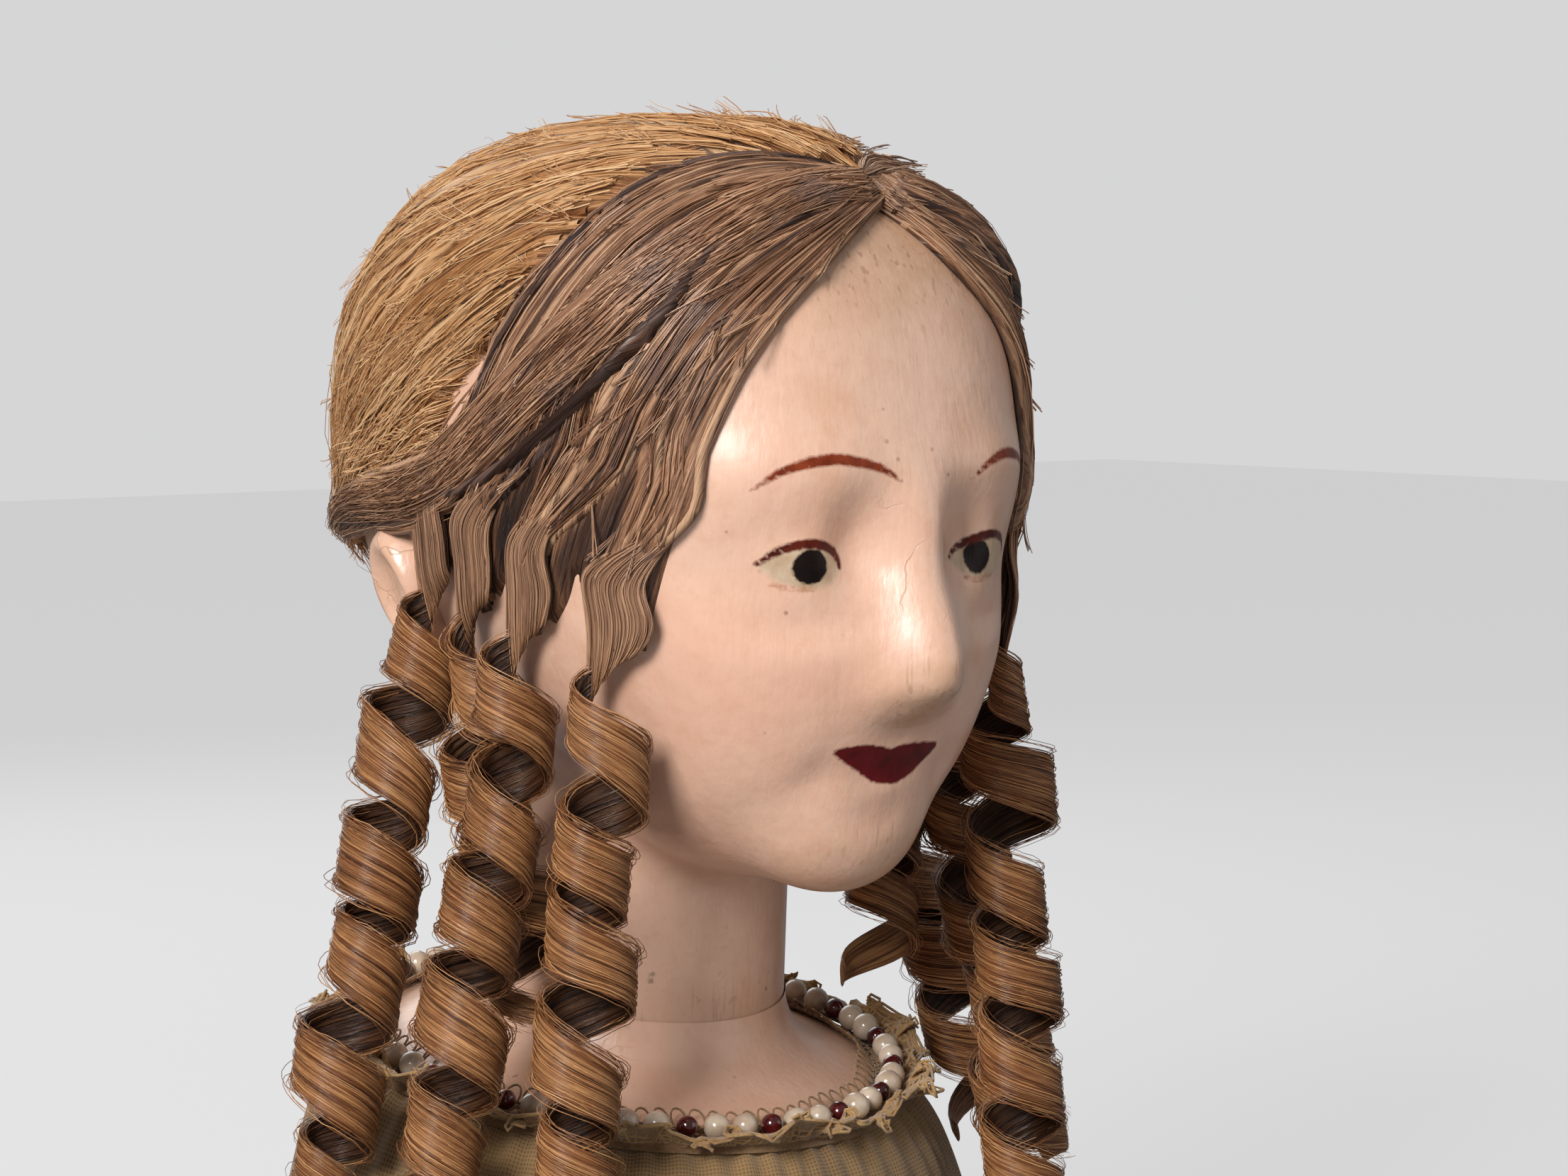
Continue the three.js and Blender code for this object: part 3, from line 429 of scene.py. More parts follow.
def flaxBand(name, dark, mid, light, streaks=None):
    # the packed fibres under the loose ones, drawn along the piece's own UV
    material, tree, bsdf = shader(name)
    lay = put(tree, "ShaderNodeUVMap", uv_map="lay").outputs["UV"]
    run = put(tree, "ShaderNodeMapping", {"Vector": lay, "Scale": (1.0, 0.03, 1.0)}).outputs["Vector"]
    fine = noise(tree, run, 2900, 4, 0.75, 0.5)
    broad = noise(tree, run, 620, 3, 0.6, 0.6)
    tone = value(tree, "tone")
    mixed = weigh(tree, fine, 0.62, broad, 0.38)
    mixed = sums(tree, "ADD", mixed, spread(tree, tone, 0, 1, -0.15, 0.15))
    colour = ramp(tree, mixed, (0.38, dark), (0.5, mid), (0.64, light))
    if streaks:
        share = times(tree, spread(tree, broad, 0.44, 0.6), spread(tree, tone, 0.35, 0.1, 0.0, 0.7))
        colour = blendColour(tree, share, colour, streaks)
    combed = blendColour(tree, fine, "4a2a1b", "b58768")
    colour = blendColour(tree, value(tree, "rooty"), colour, combed)
    # painted shade in the slits between fibre clumps, which the bump also sinks
    shadedSlit = spread(tree, noise(tree, run, 1500, 2, 0.5, 0.3), 0.36, 0.44, 1, 0)
    colour = blendColour(tree, times(tree, shadedSlit, 0.75), colour, "2c160b")
    # painted shade: darkened where the band's shade value is set
    colour = blendColour(tree, value(tree, "shade"), colour, hairShadeTone, "MULTIPLY")
    plug(tree, bsdf, {"Base Color": colour, "Roughness": spread(tree, fine, 0.3, 0.7, 0.55, 0.34)})
    relief(tree, bsdf, sums(tree, "SUBTRACT", fine, shadedSlit), 0.8, 0.0005)
    return material


# painted shade: strands are multiplied by this colour where their shade value is set
hairShadeTone = "43261a"  # hair in the hollows
paintMarks = [  # attribute, colour, darker colour, soft edge in mm, streak scale
    ("sclera", "cfb69a", "bb9c7e", 0.5, None),
    ("lowerLid", "a8583c", "c08564", 0.28, (300, 300, 300)),
    ("iris", "1c0f0a", "0d0605", 0.22, None),
    ("lid", "5e1f12", "3c110a", 0.25, None),
    ("brow", "8a3a1e", "642310", 0.28, None),
    ("lips", "641014", "4a0a0c", 0.25, None),
]

paintedFace = oilPaint("oilPaintFace", True)
paintedNeck = oilPaint("oilPaintShoulders", False)
combedFlax = flax("combedFlax", "4c2c1b", "9e7152", "dfb591", 0.36, "836a62")
roughFlax = flax("roughFlax", "96602f", "cd9660", "efc898", 0.5)
curlFlax = flax("curlFlax", "4a2410", "986038", "e0ab74", 0.3)
combedBand = flaxBand("combedBand", "341a0f", "98694a", "d9ad88", "7c665e")
roughBand = flaxBand("roughBand", "80491f", "c38a55", "e6b886")
curlBand = flaxBand("curlBand", "30150a", "875430", "d09a64")
print("materials made")


# Fibre strands grown along guide lines

def startTree(name, inlet, kinds, outlet):
    tree = bpy.data.node_groups.new(name, "GeometryNodeTree")
    tree.interface.new_socket(inlet, in_out="INPUT", socket_type="NodeSocketGeometry")
    sockets = {}
    for key, kind in kinds.items():
        made = tree.interface.new_socket(key, in_out="INPUT", socket_type="NodeSocket" + kind)
        sockets[key] = made.identifier
    tree.interface.new_socket(outlet, in_out="OUTPUT", socket_type="NodeSocketGeometry")
    return tree, sockets, put(tree, "NodeGroupInput").outputs


def endTree(tree, geometry, finish):
    whole = put(tree, "GeometryNodeRealizeInstances", {"Geometry": geometry})
    dressed = put(tree, "GeometryNodeSetMaterial", {"Geometry": whole.outputs[0], "Material": finish})
    put(tree, "NodeGroupOutput", {0: dressed.outputs[0]})


def vector(tree, way, a, b):
    second = "Scale" if way == "SCALE" else 1
    return put(tree, "ShaderNodeVectorMath", {0: a, second: b}, operation=way).outputs[0]


def drawn(tree, low, high, seed, kind="FLOAT", item=None):
    # a random value, the same for all points of an item
    node = put(tree, "FunctionNodeRandomValue", data_type=kind)
    live = {s.name: i for i, s in enumerate(node.inputs) if s.enabled}
    given = {"Min": low, "Max": high, "Seed": seed}
    if item is not None:
        given["ID"] = item
    plug(tree, node, {live[key]: part for key, part in given.items()})
    return [s for s in node.outputs if s.enabled][0]


def tube(tree, curve, sides, radius):
    sized = put(tree, "GeometryNodeSetCurveRadius", {"Curve": curve, "Radius": radius})
    ring = put(tree, "GeometryNodeCurvePrimitiveCircle", {"Resolution": sides, "Radius": 1.0})
    solid = put(tree, "GeometryNodeCurveToMesh", {
        "Curve": sized.outputs[0], "Profile Curve": ring.outputs[0]})
    if "Scale" in solid.inputs:
        tree.links.new(radius, solid.inputs["Scale"])
    return put(tree, "GeometryNodeSetShadeSmooth", {"Geometry": solid.outputs[0]}).outputs[0]


def strandTree():
    tree, sockets, source = startTree("fibreStrands", "Guides", {
        "Copies": "Int", "Spread": "Float", "Wave": "Float", "Wave Scale": "Float", "Thickness": "Float",
        "Ragged": "Float", "Seed": "Int", "Fibre": "Material"}, "Strands")
    lines = put(tree, "GeometryNodeMeshToCurve", {"Mesh": source["Guides"]}).outputs["Curve"]
    more = put(tree, "GeometryNodeDuplicateElements", {"Geometry": lines, "Amount": source["Copies"]},
               domain="SPLINE")
    strand = put(tree, "GeometryNodeCurveOfPoint").outputs["Curve Index"]
    free, taper = (
        put(tree, "GeometryNodeInputNamedAttribute", {"Name": key}, data_type="FLOAT").outputs["Attribute"]
        for key in ("free", "taper"))

    def each(low, high, offset, kind="FLOAT"):
        return drawn(tree, low, high, sums(tree, "ADD", source["Seed"], float(offset)), kind, strand)

    aside = each((-1, -1, -1), (1, 1, 1), 0, "FLOAT_VECTOR")
    here = put(tree, "GeometryNodeInputPosition").outputs[0]
    stir = vector(tree, "ADD", vector(tree, "SCALE", here, source["Wave Scale"]),
                  vector(tree, "SCALE", aside, 9.0))
    ripple = put(tree, "ShaderNodeTexNoise", {"Vector": stir, "Scale": 1.0, "Detail": 2.0}).outputs["Color"]
    ripple = vector(tree, "SUBTRACT", ripple, (0.5, 0.5, 0.5))
    shift = vector(tree, "ADD", vector(tree, "SCALE", aside, source["Spread"]),
                   vector(tree, "SCALE", ripple, source["Wave"]))
    moved = put(tree, "GeometryNodeSetPosition", {
        "Geometry": more.outputs["Geometry"], "Offset": vector(tree, "SCALE", shift, free)})
    toned = put(tree, "GeometryNodeStoreNamedAttribute", {
        "Geometry": moved.outputs[0], "Name": "tone", "Value": each(0.0, 1.0, 5)},
        data_type="FLOAT", domain="POINT")
    short = sums(tree, "SUBTRACT", 1.0, times(tree, source["Ragged"], each(0.0, 1.0, 11)))
    cut = put(tree, "GeometryNodeTrimCurve", mode="FACTOR")
    ends = [i for i, s in enumerate(cut.inputs) if s.enabled and s.type == "VALUE"]
    plug(tree, cut, {"Curve": toned.outputs[0], ends[0]: 0.0, ends[1]: short})
    thick = times(tree, times(tree, source["Thickness"], each(0.55, 1.3, 17)), taper)
    endTree(tree, tube(tree, cut.outputs[0], 3, thick), source["Fibre"])
    return tree, sockets


strandGrowth = strandTree()


def bake(host, growth, settings):
    tree, sockets = growth
    modifier = host.modifiers.new("grow", "NODES")
    modifier.node_group = tree
    for name, setting in settings.items():
        modifier[sockets[name]] = setting
    seen = host.evaluated_get(bpy.context.evaluated_depsgraph_get())
    mesh = bpy.data.meshes.new_from_object(seen)
    mesh.name = host.name
    piece = bpy.data.objects.new(host.name + "Piece", mesh)
    bpy.data.objects.remove(host)
    scene.collection.objects.link(piece)
    return piece


def growFibres(name, guides, free, taper, shade, rooty, sizes, seed, material):
    # guides: strands x points x 3, in millimetres
    count, steps = guides.shape[:2]
    start = np.arange(count)[:, None] * steps + np.arange(steps - 1)[None]
    edges = np.stack([start, start + 1], -1).reshape(-1, 2)
    host = makePiece(name, guides.reshape(-1, 3), edges=edges.tolist())
    for key, field in (("free", free), ("taper", taper), ("shade", shade), ("rooty", rooty)):
        keepValue(host, key, np.broadcast_to(field, (count, steps)).reshape(-1))
    piece = bake(host, strandGrowth, {
        "Copies": sizes["copies"], "Spread": sizes["spread"], "Wave": sizes["wave"],
        "Wave Scale": sizes["waveScale"], "Thickness": sizes["fibre"], "Ragged": sizes["ragged"],
        "Seed": seed, "Fibre": material})
    print(name + ":", len(piece.data.polygons), "faces")
    return piece


def addLay(piece, across, along):
    # UV in metres across and along the fibres
    layer = piece.data.uv_layers.new(name="lay")
    corner = np.empty(len(piece.data.loops), np.int64)
    piece.data.loops.foreach_get("vertex_index", corner)
    flat = np.stack([np.asarray(across).reshape(-1)[corner], np.asarray(along).reshape(-1)[corner]], -1) * mm
    layer.data.foreach_set("uv", flat.astype(np.float32).reshape(-1))


# Camera and light

view = {"turn": 40, "rise": 4, "distance": 0.85, "aimAcross": 0.0274, "aimHeight": 0.1595, "lens": 110.67}
turn, rise = math.radians(view["turn"]), math.radians(view["rise"])
aim = Vector((view["aimAcross"] * math.cos(turn), -view["aimAcross"] * math.sin(turn), view["aimHeight"]))
back = Vector((-math.sin(turn) * math.cos(rise), -math.cos(turn) * math.cos(rise), math.sin(rise)))


def aimed(name, data, spot, way):
    piece = bpy.data.objects.new(name, data)
    scene.collection.objects.link(piece)
    piece.location = spot
    piece.rotation_mode = "QUATERNION"
    piece.rotation_quaternion = way.to_track_quat("-Z", "Y")
    return piece


def softbox(name, spot, size, power, target=(0, -0.02, 0.15)):
    lamp = bpy.data.lights.new(name, "AREA")
    lamp.energy = power
    lamp.size = size
    aimed(name, lamp, spot, Vector(target) - Vector(spot))


scene.camera = aimed("camera", bpy.data.cameras.new("camera"), aim + back * view["distance"], -back)
scene.camera.data.sensor_width = 36
scene.camera.data.lens = view["lens"]
scene.camera.data.clip_start = 0.01

softbox("keyBox", (-0.95, -0.5, 0.62), 0.36, 13.5)
softbox("fillBox", (0.7, -0.9, 0.35), 0.8, 1.4)
softbox("backBox", (0.3, 0.9, 0.7), 0.7, 3.0)

# the room is brighter to the camera than the light that it gives
room = {"colour": (0.84, 0.84, 0.85, 1), "light": 0.32, "seen": 0.8,
        "floorColour": (0.3, 0.3, 0.3, 1), "floorSeen": 0.62, "floorHalf": 3000}
world = bpy.data.worlds.new("room")
scene.world = world
world.use_nodes = True
skyTree = world.node_tree
seen = put(skyTree, "ShaderNodeLightPath").outputs["Is Camera Ray"]
plug(skyTree, skyTree.nodes["Background"], {
    "Color": room["colour"], "Strength": spread(skyTree, seen, 0, 1, room["light"], room["seen"])})
scene.view_settings.view_transform = "Standard"

floorMaterial, floorTree, floorShade = shader("paleFloor")
seen = put(floorTree, "ShaderNodeLightPath").outputs["Is Camera Ray"]
plug(floorTree, floorShade, {
    "Base Color": room["floorColour"], "Roughness": 0.9, "Emission Color": room["colour"],
    "Emission Strength": spread(floorTree, seen, 0, 1, 0, room["floorSeen"])})
corners = [(i * room["floorHalf"], j * room["floorHalf"], 0) for i, j in ((-1, -1), (1, -1), (1, 1), (-1, 1))]
floor = makePiece("paleFloor", corners, [(0, 1, 2, 3)], floorMaterial)
print("camera and light set")


# Painted head and neck

faceMarks = {  # places on the face as x and z
    "browRight": [(-29.5, 180), (-25, 183.6), (-17.5, 185.2), (-9.5, 183.7), (-5.2, 181.4)],
    "browLeft": [(11.0, 181.0), (16.2, 184.1), (22, 185.2), (29, 183.6), (33, 180.6)],
    "lidRight": [(-26.8, 168.2), (-23.7, 170.6), (-19, 171.4), (-14.6, 169.8), (-13.4, 167.2)],
    "lidLeft": [(9.8, 168.1), (12.5, 169.7), (16, 171), (20.2, 171.6), (25.5, 170.4), (28.6, 168)],
    "underRight": [(-24.6, 164.9), (-22, 164.1), (-18.5, 164.0)],
    "underLeft": [(13.5, 164.6), (17, 164.0), (22, 164.6)],
    "lowRight": [(-15.6, 165.0), (-19.5, 163.9), (-23.8, 165.4)],
    "lowLeft": [(24.5, 165.4), (19, 164.2), (13.5, 165.2)],
    "browHalf": 0.8, "lidHalf": 0.72, "underHalf": 0.35,
    "irisRight": (-19.4, 167.7), "irisLeft": (16.6, 168.0), "irisRadius": 2.9,
    "lips": [(-12.2, 136.8), (-7.7, 137.8), (-3.6, 137.4), (-1.4, 136.8), (1.0, 137.3), (4.8, 137.5),
             (9.8, 136.8), (6.8, 133.4), (3.8, 131.4), (0.4, 130.6), (-3.2, 131.2), (-6.8, 133.2)],
    "frontY": -35, "behind": 50, "reach": 5,
}


def toLine(flat, knots):
    # distance to a smooth line through the knots, and how far along it
    line = splineAt(np.array(knots, float), np.linspace(0, 1, 60))
    best, along = np.full(len(flat), 1e3), np.zeros(len(flat))
    for i in range(len(line) - 1):
        a, run = line[i], line[i + 1] - line[i]
        t = np.clip(((flat - a) @ run) / (run @ run), 0, 1)
        gap = np.linalg.norm(flat - a - t[:, None] * run, axis=1)
        near = gap < best
        best = np.where(near, gap, best)
        along = np.where(near, (i + t) / (len(line) - 1), along)
    return best, along


def toShape(flat, knots):
    # distance to a closed outline, below zero inside
    ring = np.array(knots, float)
    best, inside = np.full(len(flat), 1e3), np.zeros(len(flat), bool)
    for a, b in zip(ring, np.roll(ring, -1, 0)):
        run = b - a
        t = np.clip(((flat - a) @ run) / (run @ run), 0, 1)
        best = np.minimum(best, np.linalg.norm(flat - a - t[:, None] * run, axis=1))
        spans = (a[1] > flat[:, 1]) != (b[1] > flat[:, 1])
        cross = a[0] + (flat[:, 1] - a[1]) * run[0] / (run[1] if abs(run[1]) > 1e-9 else 1e-9)
        inside ^= spans & (flat[:, 0] < cross)
    return np.where(inside, -best, best)


def roundedRing(knots):
    ring = np.array(knots, float)
    ring = np.vstack([ring[-2:], ring, ring[:3]])
    made = splineAt(ring, np.linspace(0, 1, 12 * (len(ring) - 1) + 1))
    return made[24:24 + 12 * len(knots)]


neckFoot = 70
headBox = (-58, -92, neckFoot), (58, 58, 246)
headPoints, headFaces = surfaceNet(headDistance, *headBox, headShape["meshStep"])
head = makePiece("paintedHead", headPoints, headFaces, paintedFace)
flat = headPoints[:, [0, 2]]
both = ("Right", "Left")


def strokes(mark, swell):
    # distance to a mark's two lines, less half the width of the brush stroke
    lines = [toLine(flat, faceMarks[mark + word]) for word in both]
    return np.minimum(*[gap - faceMarks[mark + "Half"] * swell(along) for gap, along in lines])


eyes = [toShape(flat, faceMarks["lid" + word] + faceMarks["low" + word]) for word in both]
sclera = np.minimum(*eyes)
iris = np.minimum(*[np.linalg.norm(flat - np.array(faceMarks["iris" + word]), axis=1) for word in both])
marks = {
    "brow": strokes("brow", lambda a: 0.05 + 1.1 * np.sin(np.pi * np.clip(a * 0.96 + 0.02, 0, 1)) ** 0.9),
    "lid": strokes("lid", lambda a: 0.55 + 0.6 * np.sin(np.pi * np.clip(a, 0, 1))),
    "lowerLid": strokes("under", np.ones_like),
    "sclera": sclera - 0.2,
    "iris": np.maximum(iris - faceMarks["irisRadius"], sclera - 0.6),
    "lips": toShape(flat, roundedRing(faceMarks["lips"])),
}
x, y, z = headPoints.T
far = np.where(y < faceMarks["frontY"], 0, faceMarks["behind"])
for name, field in marks.items():
    keepValue(head, name, np.clip(field + far, -faceMarks["reach"], faceMarks["reach"]))
flush = 0.75 * bump(np.abs(x) - 25, z - 146, 15, 13) + 0.4 * bump(x, z - 122, 16, 8)
flush += 0.35 * bump(np.abs(x) - 20, z - 176, 13, 5)
soil = 0.85 * smoothStep((z - 196) / 26) * (y < -20) + 0.7 * bump(x + 2, z - 147, 8, 6) * (y < -74)
# the last term makes the neck browner and darker below its crease, towards the shoulders
soil += 0.55 * bump(x - 6, z - 120, 16, 5) + 0.6 * smoothStep((96 - z) / 14)
keepValue(head, "flush", flush * (y < -20))
keepValue(head, "soil", np.clip(soil, 0, 1) * 0.75)
keepValue(head, "grime", np.clip(0.6 * bump(z - 93, 0, 5, 1) + 0.25 * smoothStep((z - 214) / 10), 0, 1))
settle(head, "painted_paper", "head_front_shell", "head_back_shell")
print("head:", len(headPoints), "points")


# Shoulder plate, flaring out of the neck

plate = {"columns": 160, "flareRows": 18, "skinRows": 10, "lowest": 2.6, "climb": 11.0, "ease": 0.25}


def shoulderPlate():
    turns = np.linspace(0, 2 * np.pi, plate["columns"], endpoint=False)
    rim = torsoSkin(turns, np.full_like(turns, 2.0))
    mid = torsoSkin(turns, np.full_like(turns, 1.5))
    seat = torsoSkin(turns, np.full_like(turns, 1.0))
    top = seat.copy()
    middleY = 4 - 7 * (seat[:, 2] + plate["climb"] - 60) / 90
    radius = 29 - 1.5 * (seat[:, 2] + plate["climb"] - 60) / 90 + plate["ease"]
    top[:, 0], top[:, 1] = radius * np.sin(turns), middleY - radius * np.cos(turns)
    top[:, 2] += plate["climb"]
    low = seat + (top - seat) * np.array([0.75, 0.75, 0.12])
    rows = []
    for q in np.linspace(0, 1, plate["flareRows"]):
        rows.append((1 - q) ** 3 * top + 3 * q * (1 - q) ** 2 * low + 3 * q * q * (1 - q) * mid + q ** 3 * rim)
    for s in np.linspace(2, plate["lowest"], plate["skinRows"] + 1)[1:]:
        rows.append(torsoSkin(turns, np.full_like(turns, s)))
    return np.concatenate(rows), len(rows)


platePoints, plateRows = shoulderPlate()
plateFaces = gridFaces(plate["columns"], plateRows - 1, True)[:, ::-1]
shoulders = makePiece("shoulderPlate", platePoints, plateFaces, paintedNeck)
x, y, z = platePoints.T
outward = np.hypot(x, y)
keepValue(shoulders, "soil", 0.5 * smoothStep((outward - 33) / 14))
grime = bump(x + 36, y + 16, 14, 16) + 0.6 * smoothStep((outward - 40) / 8)
keepValue(shoulders, "grime", np.clip(grime, 0, 1))
settle(shoulders, "painted_paper", "torso_front_shell", "torso_back_shell")
print("shoulder plate:", len(platePoints), "points")


# Ears, pressed pulp with a rolled rim

earShape = {"middle": (45, 9, 158), "height": 31, "depth": 17, "thickness": 5, "steps": 30}


def makeEar(name, side, node):
    steps = earShape["steps"]
    a, b = np.meshgrid(np.linspace(-1, 1, steps + 1), np.linspace(-1, 1, steps + 1), indexing="xy")
    across, up = a * np.sqrt(1 - b * b / 2), b * np.sqrt(1 - a * a / 2)
    out = np.hypot(across, up)
    spot = np.stack([np.full_like(a, side * earShape["middle"][0]),
                     earShape["middle"][1] + across * earShape["depth"] / 2,
                     earShape["middle"][2] + up * earShape["height"] / 2], -1)
    rim = 0.42 + 0.5 * bump(out - 0.74, 0, 0.2, 1) + 0.25 * bump(across + 0.25, up + 0.1, 0.25, 0.5)
    lift = earShape["thickness"] * (rim - 0.75 * out ** 10) * (1 - 0.15 * smoothStep(-across))
    points, _ = onHead(spot.reshape(-1, 3), lift.reshape(-1))
    faces = gridFaces(steps, steps)
    piece = makePiece(name, points, faces if side < 0 else faces[:, ::-1], paintedNeck)
    # browner and darker in a ring in the bowl inside the rolled rim
    keepValue(piece, "soil", 0.35 * bump(out.reshape(-1) - 0.4, 0, 0.2, 1))
    keepValue(piece, "grime", 0.25 * bump(out.reshape(-1) - 0.45, 0, 0.15, 1))
    settle(piece, "painted_paper", node)


makeEar("rightEar", -1, "right_ear")
makeEar("leftEar", 1, "left_ear")


# Hair laid on the head

hairLines = {
    "hairline": [(-14.6, -69, 215), (-25.1, -68.6, 205), (-31, -66, 195), (-35, -63, 182),
                 (-36.5, -57.5, 168), (-36.5, -53, 157), (-35, -49, 149)],
    "combedBack": [(-12, -47, 231), (-29, -36, 221), (-41, -25, 205), (-46, -12, 187), (-47, -6, 172),
                   (-46.5, -3, 157)],
    "nape": [(-45, 19, 180), (-38, 34, 168), (-22, 45, 159), (0, 49, 156)],
    "crossLock": [(-10, -60, 226), (-27, -58, 219), (-38.5, -49.5, 209), (-44.5, -36, 197), (-46.3, -18, 184),
                  (-46, -3, 178), (-43, 14, 176), (-38, 27, 173), (-30, 39, 169)],
    "partFront": (4, -63, 226), "partBack": (4, -56, 230.5), "crossStart": (4, -60, 228),
    "roots": (0.06, 0.38, 0.66, 0.95),
    "bareSpots": [  # middle, direction, half length and half width of a gap in the hair
        ((-46.0, -16.0, 196.5), (0.5, -5, 5), 6.5, 2.6),
        ((-46.4, -11.0, 191.0), (0, -4, 5), 4.0, 1.5),
        ((-36.0, -37.0, 222.5), (4, -6, 5), 4.5, 0.9),
        ((-42.0, -27.0, 214.0), (2, -6, 6), 5.0, 0.8),
        ((-38.5, -53.5, 203.0), (2, -5, 6), 4.0, 0.8),
        ((-43.2, -44.5, 190.0), (0, -3, 6), 4.5, 0.8),
        ((40.0, -30.0, 214.0), (-2, -6, 6), 5.0, 0.8),
        ((43.0, -44.0, 190.0), (0, -3, 6), 4.5, 0.8),
    ],
    "lockSink": 5.0, "strandSink": 4.0,
}


def sideLine(start, points, side):
    knots = [(start[0] + side * 0.3, start[1], start[2])] + [(-side * px, py, pz) for px, py, pz in points]
    return np.array(knots, float)


def sweepBetween(a, b, t):
    # turns from one place to the other round the head's middle
    a, b = unit(a - headShape["centre"]), unit(b - headShape["centre"])
    angle = np.maximum(np.arccos(np.clip((a * b).sum(-1), -1, 1)), 1e-4)[..., None]
    t = np.asarray(t)[..., None]
    way = a * np.sin((1 - t) * angle) + b * np.sin(t * angle)
    return headShape["centre"] + unit(way) * 93


def combedLine(side, v):
    return splineAt(sideLine(hairLines["partBack"], hairLines["combedBack"], side), v)


def curtainSpot(side, u, v):
    front = splineAt(sideLine(hairLines["partFront"], hairLines["hairline"], side), v)
    return sweepBetween(front, combedLine(side, v), u)


def backSpot(u, v):
    w = 2 * u - 1
    right, left = (combedLine(side, np.abs(w) * 0.8) for side in (-1, 1))
    nape = np.array(hairLines["nape"], float)
    nape = np.vstack([nape, nape[-2::-1] * np.array([-1, 1, 1])])
    return sweepBetween(np.where((w < 0)[..., None], right, left), splineAt(nape, u), v)


def wander(draw, count, steps, size, knots=5):
    # slow side-to-side drift, one line for each strand
    coarse = draw.normal(0, size, (count, knots))
    at = np.linspace(0, knots - 1, steps)
    return np.array([np.interp(at, np.arange(knots), row) for row in coarse])


def bared(spots):
    # 1 where the scalp shows through the hair
    foot, _ = onHead(spots, np.zeros(spots.shape[:-1]))
    dip = np.zeros(spots.shape[:-1])
    for middle, run, long, wide in hairLines["bareSpots"]:
        off = foot - np.array(middle, float)
        way = unit(np.array(run, float))
        ahead = off @ way
        aside = np.linalg.norm(off - ahead[..., None] * way, axis=-1)
        dip += np.exp(-(ahead / long) ** 4 - (aside / wide) ** 4)
    return np.clip(dip, 0, 1)


def laid(spots, lift, sink):
    # hair lifted off the head, and sunk into it at the bare spots
    spots = spots.reshape(-1, 3)
    return onHead(spots, lift.reshape(-1) - sink * bared(spots))[0]


def faceOut(piece):
    facing = np.array([p.normal for p in piece.data.polygons])
    middle = np.array([p.center for p in piece.data.polygons]) / mm - headShape["centre"]
    if (facing * middle).sum() < 0:
        piece.data.flip_normals()


def makeTapes(name, spot, centre, half, level, first, last, tone, size, material, slot, rooty=None):
    # flat locks, each a strip with its edges turned down
    rows = centre.shape[1]
    across = np.linspace(-1, 1, 7)
    v = first[:, None] + (last - first)[:, None] * np.linspace(0, 1, rows)[None]
    ends = np.minimum(np.linspace(0, 1, rows), np.linspace(1, 0, rows))
    narrow = (0.35 + 0.65 * smoothStep(ends / 0.12))[None]
    u = centre[..., None] + (half[:, None] * narrow)[..., None] * across
    vs = np.broadcast_to(v[..., None], u.shape)
    high = level[:, None, None] + 0.75 * (1 - across ** 2) - 1.1 * np.abs(across) ** 6
    high = high - 1.0 * (1 - smoothStep(ends / 0.06))[None, :, None]
    one = gridFaces(len(across) - 1, rows - 1)
    faces = np.concatenate([one + k * rows * len(across) for k in range(len(tone))])
    piece = makePiece(name, laid(spot(u, vs), high, hairLines["lockSink"]), faces, material)
    faceOut(piece)
    shift = np.arange(len(tone))[:, None, None] * 7.3
    addLay(piece, u * size[0] + shift, vs * size[1] + shift)
    keepValue(piece, "tone", np.broadcast_to(tone[:, None, None], u.shape).reshape(-1))
    if rooty:
        keepValue(piece, "rooty", rooty(u).reshape(-1))
    keepValue(piece, "shade", np.broadcast_to(0.95 * np.abs(across) ** 4, u.shape).reshape(-1))
    settle(piece, slot)


def makeBed(name, spots, lift, shade, across, along, material, slot, node):
    # the closed layer under the locks
    rows, columns = lift.shape
    points = laid(spots, lift, hairLines["lockSink"])
    piece = makePiece(name, points, gridFaces(columns - 1, rows - 1), material)
    faceOut(piece)
    addLay(piece, across, along)
    keepValue(piece, "shade", np.broadcast_to(shade, lift.shape).reshape(-1))
    keepValue(piece, "tone", np.full(lift.size, 0.35))
    settle(piece, slot, node)


def bedGrid(sizes, foot=1.0):
    return np.meshgrid(np.linspace(0, 1, sizes["columns"] + 1), np.linspace(0, foot, sizes["rows"] + 1))


def stubs(draw, spot, count, steps, level, turnAside, run):
    # short broken ends that rise out of the hair
    along = np.linspace(0, 1, steps)[None]
    us = draw.uniform(0.03, 0.97, (count, 1)) + draw.normal(0, turnAside, (count, 1)) * along
    vs = draw.uniform(0.02, 0.9, (count, 1)) + draw.uniform(0.4, 1.6, (count, 1)) * run * along
    high = level + draw.uniform(0.5, 3.2, (count, 1)) * along ** 1.6
    spots = spot(np.clip(us, 0, 1), np.clip(vs, 0, 1))
    return laid(spots, high, hairLines["strandSink"]).reshape(count, steps, 3)


backHair = {
    "across": 230, "long": 150, "columns": 110, "rows": 60, "tapes": 90, "tapeRows": 26, "guides": 260,
    "points": 20, "fuzz": 420, "fuzzPoints": 8, "copies": 5, "fibre": 0.00011, "spread": 0.0012, "wave": 0.0052,
    "waveScale": 120.0, "ragged": 0.12, "seed": 11,
}


def browned(u):
    # combed hair mixes into the golden tow near the curtains
    return 0.9 * smoothStep((np.abs(u - 0.5) - 0.36) / 0.09) * (0.6 + 0.4 * np.sin(u * 900))


